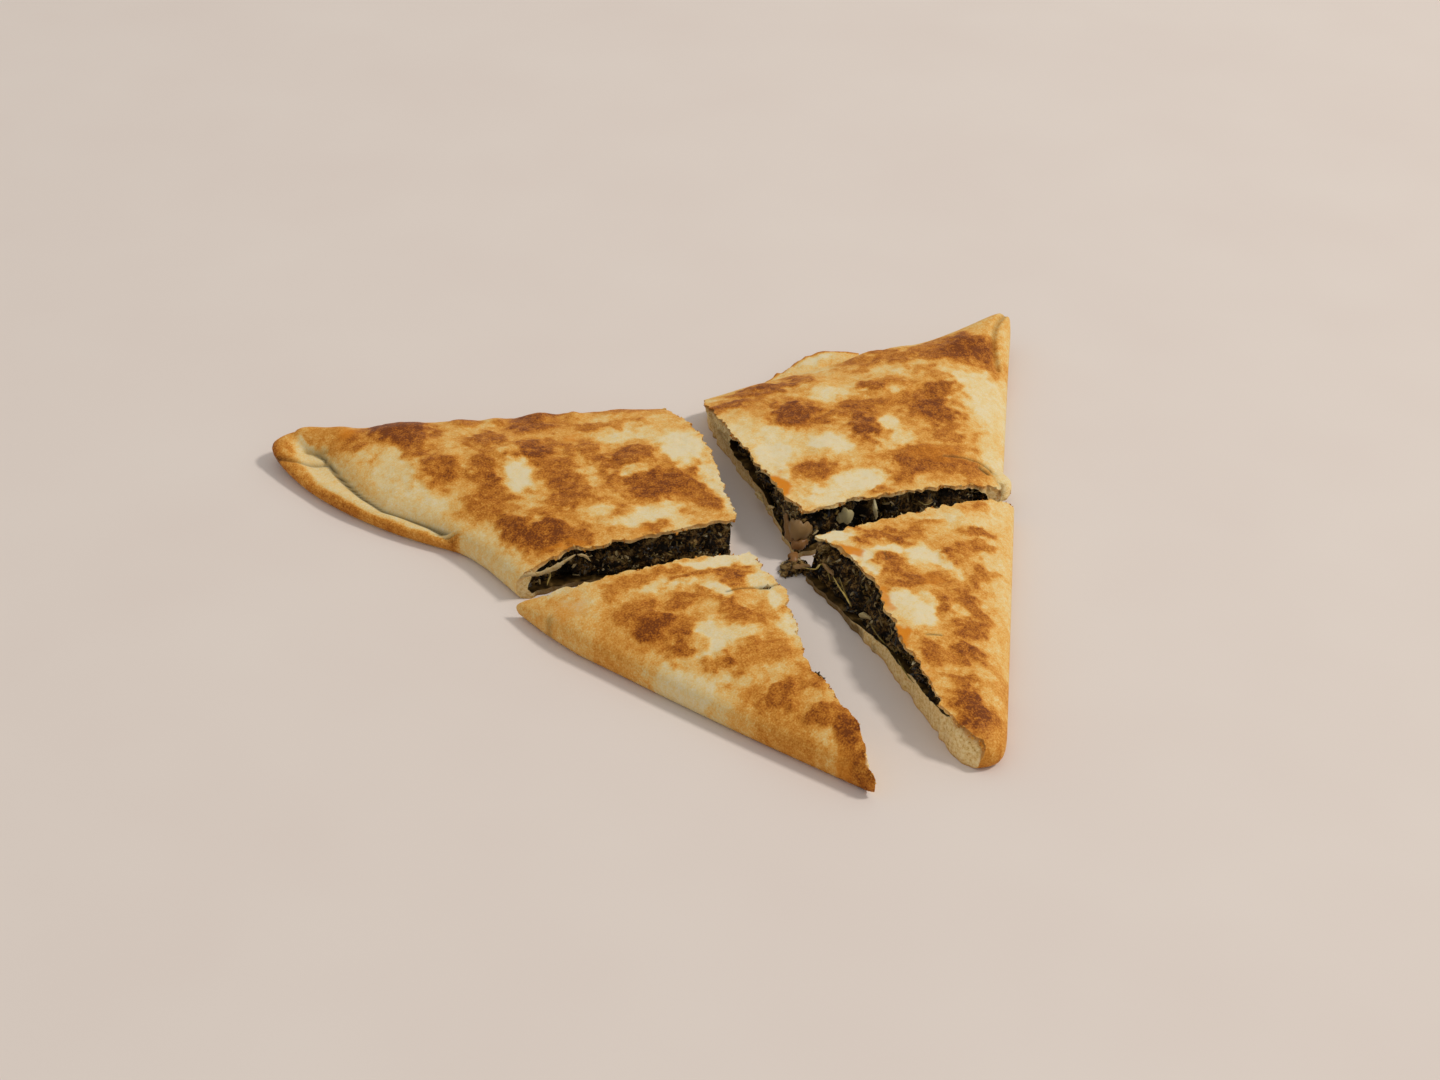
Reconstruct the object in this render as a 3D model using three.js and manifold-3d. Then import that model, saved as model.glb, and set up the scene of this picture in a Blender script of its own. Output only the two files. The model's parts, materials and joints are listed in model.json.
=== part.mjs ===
// Spinach fatayer: a flat triangular pie of folded flatbread dough around a chopped spinach filling,
// cut crosswise into four slices that lie a little apart. Each slice is a baked dough jacket, closed and
// rolled along its outer sides and open at the two knife cuts, with a slab of filling inside it.
//
// Frame: millimetres, +Z up, the slices stand on Z = 0. +X runs along the folded back edge, from the left
// tip to the right tip, and the front tip points to -Y. The sizes below are measured from a point beside
// the middle of the footprint, and the group is moved at the end so that its origin is that middle.
import * as THREE from "three";
import { mergeVertices } from "three/addons/utils/BufferGeometryUtils.js";
import Module from "manifold-3d";

const wasm = await Module();
wasm.setup();

// ---- the pie's section, mm ----
const MIDDLE_HEIGHT = 15; // top of the crust at the middle of the pie
const WIDEST_HEIGHT = 3.2; // height at which the rolled side stands out furthest
const DOME_REACH = 56; // distance from the outer side to where the crust is level
const CRUST_TOP = 1.9;
const CRUST_BASE = 2.2;
const FILLING_SHOULDER = 7; // run over which the filling reaches its full height
const TIP_ROUNDING = 2.6; // length that the soft corner takes off each outer side
const ROLL_UNDERCUT = 1.8; // how far the base stands in from the rolled side
const GAP = 0.3; // clearance between the filling and the dough
const CUT_TUCK = 0.9; // how far the filling's cut faces stand in from the dough's
const FOOTPRINT_MIDDLE = [0.2, 0.1];

// ---- how finely the curved faces are divided ----
const SPOKE_STEP = 5.6; // along the outer sides
const INNER_RINGS = 7; // from the outer band to the hub
const CUT_STEP = 4; // along the knife cuts
const FLAP_STEPS = 12;

const doughMaterial = new THREE.MeshStandardMaterial({ color: 0xdcb677, roughness: 0.75, metalness: 0 });
const fillingMaterial = new THREE.MeshStandardMaterial({ color: 0x2a2a17, roughness: 0.45, metalness: 0 });

// ---- the four slices ----
// hub: a point just past the slice's centre corner, from which its surface is spun out.
// outline: the outer sides, from one far end past a cut, round the tip, to the far end past the other cut.
// outside: a point well clear of the slice beyond its outer sides, which closes the knife's outline.
// cuts: the two knife cuts, each from the outer side to the centre corner. crust is the line of the top
//   crust's edge and base that of the base crust, which the crust overhangs or stands back from.
// fullness: exponent of the superelliptic section, where 2 is an ellipse and more is a squarer shoulder.
// curl: [lift, reach] of the tip, which baked up off the surface.
// side: dough between the outer side and the filling, and fillingEnd: between the tip and the filling.
// blisters: [x, y, radius, height] of the scorched bubbles that lift the crust.
const slices = [
  {
    name: "left",
    hub: [6, -6],
    outline: [[6, 78], [-114, 99], [-66, -1]],
    tip: [-114, 99],
    outside: [-165, 140],
    fullness: 2.7,
    curl: [3, 26],
    side: 2.8,
    fillingEnd: 34,
    cuts: [
      {
        crust: [[-3, 80], [-1, 66], [0.5, 50], [-1, 33], [-2.5, 20], [-4.5, 6]],
        base: [[-3, 80], [-1, 64], [0, 44], [-2, 24], [-5, 8]],
      },
      {
        crust: [[-70, 6.5], [-56, 7.5], [-44, 6.5], [-30, 6], [-15, 6.3], [-4.5, 6]],
        base: [[-70, 7], [-52, 8.5], [-30, 7.5], [-5, 8]],
      },
    ],
    blisters: [[-84, 83, 10, 1.4], [-40, 78, 7, 1.1], [-66, 85, 5, 0.8], [-58, 79, 5, 0.8], [-23, 76, 5, 0.7],
      [-82, 60, 8, 0.7], [-56, 58, 7, 0.7], [-36, 52, 8, 0.7], [-60, 26, 8, 0.8], [-20, 44, 9, 0.7]],
  },
  {
    name: "front",
    hub: [6, 2],
    outline: [[-78, 5], [-39, -57], [2, -109.5]],
    tip: [-5, -104],
    outside: [-95, -95],
    fullness: 2.6,
    curl: [0, 1],
    side: 3.2,
    fillingEnd: 26,
    cuts: [
      {
        crust: [[-4.5, -102], [-2.5, -87], [-5.5, -70], [-7, -56], [-4, -46], [-5, -37], [-1.5, -32], [-3, -22],
          [-7, -9]],
        base: [[-4.5, -102], [-3.5, -80], [-4.5, -50], [-2.5, -26], [-6.5, -8]],
      },
      {
        crust: [[-73, -0.5], [-60, -6], [-48, -9], [-34, -9.5], [-20, -8.5], [-7, -9]],
        base: [[-73, -1], [-52, -7], [-30, -9], [-6.5, -8]],
      },
    ],
    blisters: [[-42, -28, 9, 1], [-22, -52, 8, 0.7], [-19, -24, 7, 0.6], [-9, -78, 6, 0.9], [-12, -58, 6, 0.6]],
  },
  {
    name: "back",
    hub: [4, -8],
    outline: [[1, 80.5], [60, 93.5], [122.5, 99.5], [77.5, 5]],
    tip: [122.5, 99.5],
    outside: [165, 140],
    fullness: 2.3,
    curl: [8, 34],
    side: 5.5,
    fillingEnd: 34,
    cuts: [
      {
        crust: [[12, 84], [10.5, 66], [10.5, 46], [12, 24], [14, 4]],
        base: [[12, 84], [10, 66], [10, 48], [11.5, 26], [12, 2]],
      },
      {
        crust: [[85, 11], [73, 10], [62, 8.5], [46, 7.5], [30, 6.5], [14, 4]],
        base: [[85, 10.5], [66, 9], [42, 7.5], [12, 2]],
      },
    ],
    blisters: [[97, 84, 10, 1.2], [44, 72, 7, 0.9], [28, 79, 6, 0.6], [62, 63, 8, 0.8], [86, 62, 9, 0.9],
      [72, 90, 7, 0.7], [33, 34, 6, 0.5], [68, 26, 10, 0.8]],
  },
  {
    name: "right",
    hub: [2, 2],
    outline: [[85.5, 13.5], [31.5, -101.5], [6, -93.5]],
    tip: [30, -100],
    outside: [110, -105],
    fullness: 2.5,
    curl: [0, 1],
    side: 4.5,
    fillingEnd: 30,
    cuts: [
      {
        crust: [[27, -98], [24, -86], [23, -72], [22, -58], [21, -45], [24, -35], [22, -24], [19, -15], [14, -8]],
        base: [[27, -100], [24.5, -79], [22, -54], [17, -28], [12.5, -8]],
      },
      {
        crust: [[84, 3], [64, -1], [47, -3.5], [31, -6], [14, -8]],
        base: [[84, 3], [58, -1], [34, -5], [12, -8]],
      },
    ],
    blisters: [[39, -76, 7, 1], [50, -22, 6, 0.7], [36, -38, 6, 0.5], [46, -55, 5, 0.5], [60, -8, 6, 0.6]],
  },
];

// ---- flaps of dough: [x, y, z] along the inner and the outer edge, from one end to the other ----
const flaps = {
  left: [
    {
      thick: 2.8, // the seam's lower lip, from the left tip along the front side
      inner: [[-96, 91, 7], [-105, 91, 7], [-106, 86, 6], [-102, 79, 4], [-93, 62, 2.4], [-83, 42, 1.8],
        [-74, 26, 1.6]],
      rim: [[-98, 97.5, 6.5], [-111, 98.5, 6], [-118.5, 93, 5], [-117, 80, 3.6], [-107, 66, 2.4],
        [-95, 48, 1.9], [-78, 27, 1.6]],
    },
  ],
  front: [],
  back: [
    {
      thick: 2.4, // the seam's lower lip behind the back edge
      inner: [[20, 82, 3.5], [35, 87, 4], [50, 90.5, 5], [66, 93, 6.5]],
      rim: [[22, 91.5, 3.2], [36, 97, 3.5], [51, 101, 4.5], [67, 99.5, 6.5]],
    },
    {
      thick: 3, // the torn flap where the cross cut leaves the right side
      inner: [[79, 25, 9], [78, 18, 8.5], [77, 13, 7.5]],
      rim: [[84.5, 23, 7], [84.5, 16, 5.5], [82.5, 11, 4.5]],
    },
  ],
  right: [],
};

// ---- plan geometry ----

const mix = (a, b, t) => a + (b - a) * t;
const mixPoint = (p, q, t) => p.map((value, axis) => mix(value, q[axis], t));
const distance = (p, q) => Math.hypot(p[0] - q[0], p[1] - q[1]);

// Distance of a point inside a slice from its outer sides, with softly rounded corners.
function insetAt(slice, x, y) {
  let sum = 0;
  for (let i = 1; i < slice.outline.length; i++) {
    const [ax, ay] = slice.outline[i - 1];
    const [bx, by] = slice.outline[i];
    const length = Math.hypot(bx - ax, by - ay);
    const signed = ((x - ax) * (by - ay) - (y - ay) * (bx - ax)) / length;
    sum += Math.exp(-(signed * slice.turn) / TIP_ROUNDING);
  }
  return -TIP_ROUNDING * Math.log(sum);
}

// +1 where the inside of the slice lies to the right of its outline's direction, -1 where to its left.
function turnOf({ hub, outline }) {
  const [[ax, ay], [bx, by]] = outline;
  return Math.sign((hub[0] - ax) * (by - ay) - (hub[1] - ay) * (bx - ax));
}

// The crust's slow waves and its scorched bubbles.
function reliefAt(slice, x, y) {
  let height = 0.25 * Math.sin(x / 7.3 + y / 19) + 0.2 * Math.sin(y / 6.1 - x / 13);
  for (const [bx, by, radius, lift] of slice.blisters) {
    const reach = ((x - bx) ** 2 + (y - by) ** 2) / radius ** 2;
    height += lift * Math.exp(-1.4 * reach);
  }
  return height;
}

// Height over a quarter of a superellipse that rises from 0 to 1 as run goes from 0 to reach.
function riseAt(run, reach, fullness) {
  const left = 1 - THREE.MathUtils.clamp(run / reach, 0, 1);
  return (1 - left ** fullness) ** (1 / fullness);
}

// How far the curled tip lifts everything that stands at a point.
function curlAt({ tip, curl: [lift, reach] }, x, y) {
  return lift * THREE.MathUtils.clamp(1 - distance([x, y], tip) / reach, 0, 1) ** 1.6;
}

function crustHeight(slice, x, y) {
  const inset = Math.max(insetAt(slice, x, y), 0);
  const settled = THREE.MathUtils.smoothstep(inset, 0, 5);
  const dome = mix(WIDEST_HEIGHT, MIDDLE_HEIGHT, riseAt(inset, DOME_REACH, slice.fullness));
  return dome + reliefAt(slice, x, y) * settled;
}

// Distance inside the pocket that holds the filling: it ends short of the sides and shorter of the tip.
function pocketInset(slice, x, y) {
  const fromSide = insetAt(slice, x, y) - slice.side;
  const fromTip = distance([x, y], slice.tip) - slice.fillingEnd;
  return -Math.log(Math.exp(-fromSide / 2) + Math.exp(-fromTip / 2)) * 2;
}

// ---- solids ----

function toGeometry(positions, indices) {
  const geometry = new THREE.BufferGeometry();
  geometry.setAttribute("position", new THREE.Float32BufferAttribute(positions, 3));
  geometry.setIndex(indices);
  return geometry;
}

function toSolid(geometry) {
  const merged = mergeVertices(geometry, 1e-4);
  return new wasm.Manifold(new wasm.Mesh({
    numProp: 3,
    vertProperties: new Float32Array(merged.attributes.position.array),
    triVerts: new Uint32Array(merged.index.array),
  }));
}

// Points spaced evenly along the slice's outline, one for each spoke.
function spokeEnds(slice) {
  const path = new THREE.CurvePath();
  for (let i = 1; i < slice.outline.length; i++) {
    path.add(new THREE.LineCurve(
      new THREE.Vector2(...slice.outline[i - 1]),
      new THREE.Vector2(...slice.outline[i]),
    ));
  }
  return path.getSpacedPoints(Math.round(path.getLength() / SPOKE_STEP));
}

// Outermost point of a spoke, from the hub towards an outline point, where inset reaches the value asked.
function contourPoint(hub, end, inset, wanted) {
  const steps = 160;
  let outer = 1;
  while (outer > 1 / steps && inset(...mixPoint(hub, end, outer)) < wanted) outer -= 1 / steps;
  let inner = outer;
  outer += 1 / steps;
  for (let i = 0; i < 20; i++) {
    const middle = (inner + outer) / 2;
    if (inset(...mixPoint(hub, end, middle)) < wanted) outer = middle;
    else inner = middle;
  }
  return mixPoint(hub, end, inner);
}

// A closed body spun out from the hub: the band of contours given as [inset, height or null for the top
// surface's own height], then even rings to the hub, a flat base and two plain walls along the end spokes.
function pillow(slice, inset, band, top, base) {
  const rings = [];
  for (const end of spokeEnds(slice)) {
    const hub = slice.hub;
    const outer = band.map(([wanted]) => contourPoint(hub, [end.x, end.y], inset, wanted));
    const ring = outer.map((p, i) => [...p, (band[i][1] ?? top(...p)) + curlAt(slice, ...p)]);
    const last = outer.at(-1);
    for (let i = 1; i < INNER_RINGS; i++) {
      const p = mixPoint(last, hub, i / INNER_RINGS);
      ring.push([...p, top(...p) + curlAt(slice, ...p)]);
    }
    rings.push(ring);
  }
  const count = rings[0].length;
  const positions = rings.flat(2);
  const hubTop = rings.length * count;
  const hubBase = hubTop + 1;
  positions.push(...slice.hub, top(...slice.hub), ...slice.hub, base);
  const indices = [];
  const add = (a, b, c) => indices.push(...(slice.turn > 0 ? [a, b, c] : [a, c, b]));
  for (let s = 1; s < rings.length; s++) {
    const here = s * count;
    const before = here - count;
    for (let r = 1; r < count; r++) {
      add(before + r - 1, before + r, here + r - 1);
      add(here + r - 1, before + r, here + r);
    }
    add(before + count - 1, hubTop, here + count - 1);
    add(before, here, hubBase);
  }
  for (const [wall, side] of [[0, 1], [rings.length - 1, -1]]) {
    const start = wall * count;
    const fan = Array.from({ length: count }, (_, r) => start + r).concat(hubTop);
    for (let r = 1; r < fan.length; r++) {
      if (side > 0) add(hubBase, fan[r], fan[r - 1]);
      else add(hubBase, fan[r - 1], fan[r]);
    }
  }
  return toSolid(toGeometry(positions, indices));
}

// The outer form of the dough: undercut base, rolled side and domed top.
function doughForm(slice) {
  const band = [[14, 0], [ROLL_UNDERCUT, 0], [0.5, 1.2], [0, WIDEST_HEIGHT], [0.4, null], [1.3, null], [3, null],
    [6, null], [11, null]];
  const top = (x, y) => crustHeight(slice, x, y);
  return pillow(slice, (x, y) => insetAt(slice, x, y), band, top, 0);
}

// The pocket inside the dough, or the filling in it, which is smaller all over by the clearance.
function pocketForm(slice, clearance) {
  const base = CRUST_BASE + clearance;
  const inset = (x, y) => pocketInset(slice, x, y) - clearance;
  const top = (x, y) => {
    const height = crustHeight(slice, x, y) - CRUST_TOP - clearance;
    return mix(base + 1.5, height, riseAt(inset(x, y), FILLING_SHOULDER, slice.fullness));
  };
  const band = [[10, base], [1, base], [0, base + 1.5], [0.8, null], [2.6, null], [6, null]];
  return pillow(slice, inset, band, top, base);
}

// A line along a knife cut, moved into the slice by tuck. share goes from the base's line to the crust's.
function cutLine(cut, share, tuck, inward) {
  const curves = [cut.base, cut.crust].map((points) => new THREE.CatmullRomCurve3(
    points.map(([x, y]) => new THREE.Vector3(x, y, 0)),
  ));
  const steps = Math.round(curves[1].getLength() / CUT_STEP);
  const [low, high] = curves.map((curve) => curve.getSpacedPoints(steps));
  return low.map((p, i) => [
    mix(p.x, high[i].x, share) + inward[0] * tuck,
    mix(p.y, high[i].y, share) + inward[1] * tuck,
  ]);
}

// The unit direction across a cut that points into the slice.
function inwardOf(cut, slice) {
  const [ax, ay] = cut.base[0];
  const [bx, by] = cut.base.at(-1);
  const length = Math.hypot(bx - ax, by - ay);
  const across = [(ay - by) / length, (bx - ax) / length];
  const side = Math.sign((slice.outside[0] - ax) * across[0] + (slice.outside[1] - ay) * across[1]);
  return across.map((value) => value * side);
}

// The plan outline that the two knife cuts leave of the slice, at a share and a tuck of its cut lines.
function knifeOutline(slice, share, tuck) {
  const [first, second] = slice.cuts.map((cut) => {
    const inward = inwardOf(cut, slice);
    const line = cutLine(cut, share, tuck, inward);
    const ahead = mixPoint(line.at(-1), line[0], 1 + 30 / distance(line[0], line.at(-1)));
    return { line: [ahead, ...line], inward };
  });
  const corner = first.line.at(-1).map((value, axis) => value + second.inward[axis] * tuck);
  return [...first.line.slice(0, -1), corner, ...second.line.slice(0, -1).reverse(), slice.outside]
    .map(([x, y]) => new THREE.Vector2(x, y));
}

// The body within the knife's outlines, lofted through levels of [height, share, tuck].
function knifeForm(slice, levels) {
  const outlines = levels.map(([, share, tuck]) => knifeOutline(slice, share, tuck));
  if (THREE.ShapeUtils.isClockWise(outlines[0])) outlines.forEach((outline) => outline.reverse());
  const count = outlines[0].length;
  const positions = outlines.flatMap((outline, i) => outline.flatMap(({ x, y }) => [x, y, levels[i][0]]));
  const indices = [];
  for (let low = 0; low < (levels.length - 1) * count; low += count) {
    for (let i = 0; i < count; i++) {
      const a = low + i;
      const b = low + ((i + 1) % count);
      indices.push(a, b, a + count, a + count, b, b + count);
    }
  }
  for (const [a, b, c] of THREE.ShapeUtils.triangulateShape(outlines[0], [])) indices.push(a, c, b);
  const top = (levels.length - 1) * count;
  for (const [a, b, c] of THREE.ShapeUtils.triangulateShape(outlines.at(-1), [])) {
    indices.push(top + a, top + b, top + c);
  }
  return toSolid(toGeometry(positions, indices));
}

// A thin flap of dough between two edges, with rounded rims.
function flapForm({ inner, rim, thick }) {
  const [near, far] = [inner, rim].map((points) => new THREE.CatmullRomCurve3(
    points.map((p) => new THREE.Vector3(...p)),
  ).getSpacedPoints(FLAP_STEPS));
  const sides = 8;
  const positions = [];
  const indices = [];
  for (let i = 0; i <= FLAP_STEPS; i++) {
    const full = Math.sin((Math.PI * (i + 0.6)) / (FLAP_STEPS + 1.2)) ** 0.4;
    for (let k = 0; k < sides; k++) {
      const angle = (2 * Math.PI * k) / sides;
      const across = (1 - Math.cos(angle)) / 2;
      const point = near[i].clone().lerp(far[i], across);
      const up = (Math.sign(Math.sin(angle)) * Math.abs(Math.sin(angle)) ** 0.6 * thick * full) / 2;
      positions.push(point.x, point.y, Math.max(point.z + up, 0));
    }
  }
  for (let i = 0; i < FLAP_STEPS; i++) {
    for (let k = 0; k < sides; k++) {
      const here = i * sides + k;
      const next = i * sides + ((k + 1) % sides);
      indices.push(here, here + sides, next, next, here + sides, next + sides);
    }
  }
  const last = FLAP_STEPS * sides;
  for (let k = 1; k < sides - 1; k++) {
    indices.push(0, k, k + 1);
    indices.push(last, last + k + 1, last + k);
  }
  const solid = toSolid(toGeometry(positions, indices));
  if (solid.volume() > 0) return solid;
  const flipped = indices.map((_, i) => indices[i - (i % 3) + [0, 2, 1][i % 3]]);
  return toSolid(toGeometry(positions, flipped));
}

function toMesh(name, solid, material) {
  const mesh = solid.getMesh();
  const geometry = toGeometry(mesh.vertProperties, Array.from(mesh.triVerts));
  geometry.computeVertexNormals();
  const result = new THREE.Mesh(geometry, material.clone());
  result.name = name;
  return result;
}

function dough(slice) {
  const knife = knifeForm(slice, [[-5, 0, 0], [CRUST_BASE + 1, 0, 0], [9, 1, 0], [30, 1, 0]]);
  let form = doughForm(slice);
  for (const flap of flaps[slice.name]) form = form.add(flapForm(flap));
  const jacket = form.subtract(pocketForm(slice, 0)).intersect(knife);
  return toMesh(`dough_${slice.name}`, jacket, doughMaterial);
}

function filling(slice) {
  const levels = [[-5, 0], [4, 0.1], [9, 0.6], [30, 1]].map((level) => [...level, CUT_TUCK]);
  const knife = knifeForm(slice, levels);
  return toMesh(`filling_${slice.name}`, pocketForm(slice, GAP).intersect(knife), fillingMaterial);
}

const fatayer = new THREE.Group();
for (const slice of slices) {
  slice.turn = turnOf(slice);
  fatayer.add(dough(slice), filling(slice));
}

fatayer.position.set(-FOOTPRINT_MIDDLE[0], -FOOTPRINT_MIDDLE[1], 0);

export default fatayer;
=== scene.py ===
# Spinach fatayer: a flat triangular pie of folded flatbread dough, browned in a pan and cut crosswise into
# four slices around a chopped spinach filling. The slices are worked out in millimetres, with +X along the
# folded back edge and the front tip at -Y, and their meshes are written in metres.
import json
import math

import bmesh
import bpy
import numpy as np
from bpy.props import FloatProperty, FloatVectorProperty, IntProperty, PointerProperty
from mathutils import Matrix, Vector

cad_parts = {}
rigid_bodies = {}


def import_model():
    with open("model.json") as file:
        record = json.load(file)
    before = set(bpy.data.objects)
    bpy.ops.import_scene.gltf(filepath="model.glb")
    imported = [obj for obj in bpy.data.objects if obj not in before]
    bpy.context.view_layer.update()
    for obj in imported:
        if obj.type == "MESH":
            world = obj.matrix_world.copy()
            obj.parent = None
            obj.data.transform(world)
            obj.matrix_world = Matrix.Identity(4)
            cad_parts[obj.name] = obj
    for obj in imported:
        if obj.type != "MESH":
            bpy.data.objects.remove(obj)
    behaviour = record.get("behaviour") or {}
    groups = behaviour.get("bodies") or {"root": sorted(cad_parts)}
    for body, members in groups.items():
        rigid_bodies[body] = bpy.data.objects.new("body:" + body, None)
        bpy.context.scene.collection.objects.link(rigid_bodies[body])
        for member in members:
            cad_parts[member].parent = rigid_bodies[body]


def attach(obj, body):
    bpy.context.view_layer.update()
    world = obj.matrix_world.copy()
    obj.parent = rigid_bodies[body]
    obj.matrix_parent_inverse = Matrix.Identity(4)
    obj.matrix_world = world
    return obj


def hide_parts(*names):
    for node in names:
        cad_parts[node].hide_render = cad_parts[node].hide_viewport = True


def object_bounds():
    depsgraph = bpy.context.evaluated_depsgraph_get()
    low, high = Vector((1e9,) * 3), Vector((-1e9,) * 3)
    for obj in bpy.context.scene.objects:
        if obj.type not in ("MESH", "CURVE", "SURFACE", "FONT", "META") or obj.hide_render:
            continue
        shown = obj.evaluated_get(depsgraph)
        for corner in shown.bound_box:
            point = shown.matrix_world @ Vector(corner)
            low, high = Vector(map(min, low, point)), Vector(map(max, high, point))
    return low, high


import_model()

bl_info = {
    "name": "Spinach Fatayer",
    "version": (1, 0, 0),
    "blender": (4, 5, 0),
    "location": "View3D > Sidebar > Fatayer",
    "description": "Builds four slices of a pan-browned spinach fatayer, its filling and a plain studio",
    "category": "Object",
}

CAD_BOX = [list(corner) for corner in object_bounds()]
MM = 0.001

# ---- the pie's section, mm ----
MIDDLE_HEIGHT = 15.0  # top of the crust at the middle of the pie
WIDEST_HEIGHT = 3.2  # height at which the rolled side stands out furthest
DOME_REACH = 56.0  # distance from the outer side to where the crust is level
CRUST_TOP = 1.4  # thickness of the crust over the filling
CRUST_BASE = 1.7  # and under it
FILLING_SHOULDER = 7.0  # run over which the filling reaches its full height
TIP_ROUNDING = 2.6  # length that the soft corner takes off each outer side
ROLL_UNDERCUT = 1.8  # how far the base stands in from the rolled side
GAP = 0.3  # clearance between the filling and the dough
POCKET_RIM = 1.5  # height of the pocket's outer wall
POCKET_ROUNDING = 2  # length that the soft corner takes off the pocket's sides
CUT_TUCK = 0.9  # how far the filling's cut faces stand in from the dough's
LIP_TOP = 4.9  # height of the folded lip's roll
LIP_BLEND = 0.6  # width over which the lip's outline runs into the slice's
FOOTPRINT_MIDDLE = (0.2, 0.1)  # where the model's origin lies in the slices' own frame
TALLEST = CAD_BOX[1][2] / MM + 0.25  # no blister stands higher than this
TOP_ROUNDING = 0.6  # height over which the crust levels off below that
KNIFE_SPAN = (-5, 30)  # heights between which a knife's body reaches
CUT_OVERRUN = 30  # how far a cut runs on past the outer side
CUT_LEAN = (CRUST_BASE + 1, 9)  # heights between which a cut moves from its base line to its crust line
# the rolled side of the dough, from under the base up and round to the top: (inset, height), where None
# stands for the crust's own height
DOUGH_BAND = ((14, 0), (ROLL_UNDERCUT, 0), (1.1, 0.4), (0.5, 1.2), (0.15, 2.2), (0, WIDEST_HEIGHT),
              (0.15, None), (0.4, None), (0.8, None), (1.3, None), (1.9, None))

# ---- how finely the surfaces are divided, mm ----
SKIN_STEP = 0.65
SKIN_RINGS = 150
POCKET_STEP = 2.0
POCKET_RINGS = 40
CRUMB_STEP = 0.7
CHOP_STEP = 0.55
SPOKE_TRIES = 240  # places tried along a spoke for where it meets a contour
HALVINGS = 22  # how often the stretch that holds the meeting is then halved

CRUST, CRUMB, SOAKED = 0, 1, 2  # material slots of the dough's faces

# ---- how the crust browned, from 0 for white to 1 for burnt ----
COMMON_BROWN = 0.27
SCORCH_BROWN = 0.9  # how much of the way to burnt a full scorch goes
HALO_SPREAD = 1.6  # size of the speckled halo round a scorch, for the scorch's own
HALO_BROWN = 0.52
PALE_SHARE = 0.92  # how much of the common brown a pale place lacks
LIP_SHADE = 0.13  # the pale strip of the lip beside its crease
LIP_RIM = (0.62, 0.46)  # the lip's outer edge, and the top of its roll
SCORCH_SEED = 3  # the same for the scorches' colour and relief

# ---- chopped bits, mm ----
LEAF_THICK = 0.16
LEAF_CORNERS = 8
FLOOR_CLEARANCE = 0.05  # the lowest that a bit lies
DEEP_PIT = 0.6  # painted shade of a pit from which on no bits lie in it
BIT_SIZES = (0.4, 1.05)  # smallest and largest scale of a strewn bit
FLAKE_SIZES = (0.5, 1.1)
FLAKE_CROWD = 900000.0  # flakes on each square metre of the crust's torn edges
FLAKE_TILT = 0.6
HEAP_RINGS = 7
HEAP_SIDES = 18
CLINGING = 6  # a heap whose top is higher than this hangs on the cut beside it
CLINGING_DEPTH = 2.2  # and is this deep

# ---- studio, mm and degrees ----
CAMERA_AIM = (-4.8, 17.6, 0)
CAMERA_DISTANCE = 744
CAMERA_HEADING = -20
CAMERA_ELEVATION = 34.716
CAMERA_ROLL = 1.995
CAMERA_LENS = 65
CAMERA_SENSOR = 36
KEY_HEADING = -14
KEY_ELEVATION = 49
KEY_DISTANCE = 3200
KEY_SIZE = 520
FLOOR_HALF = 6000
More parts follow.
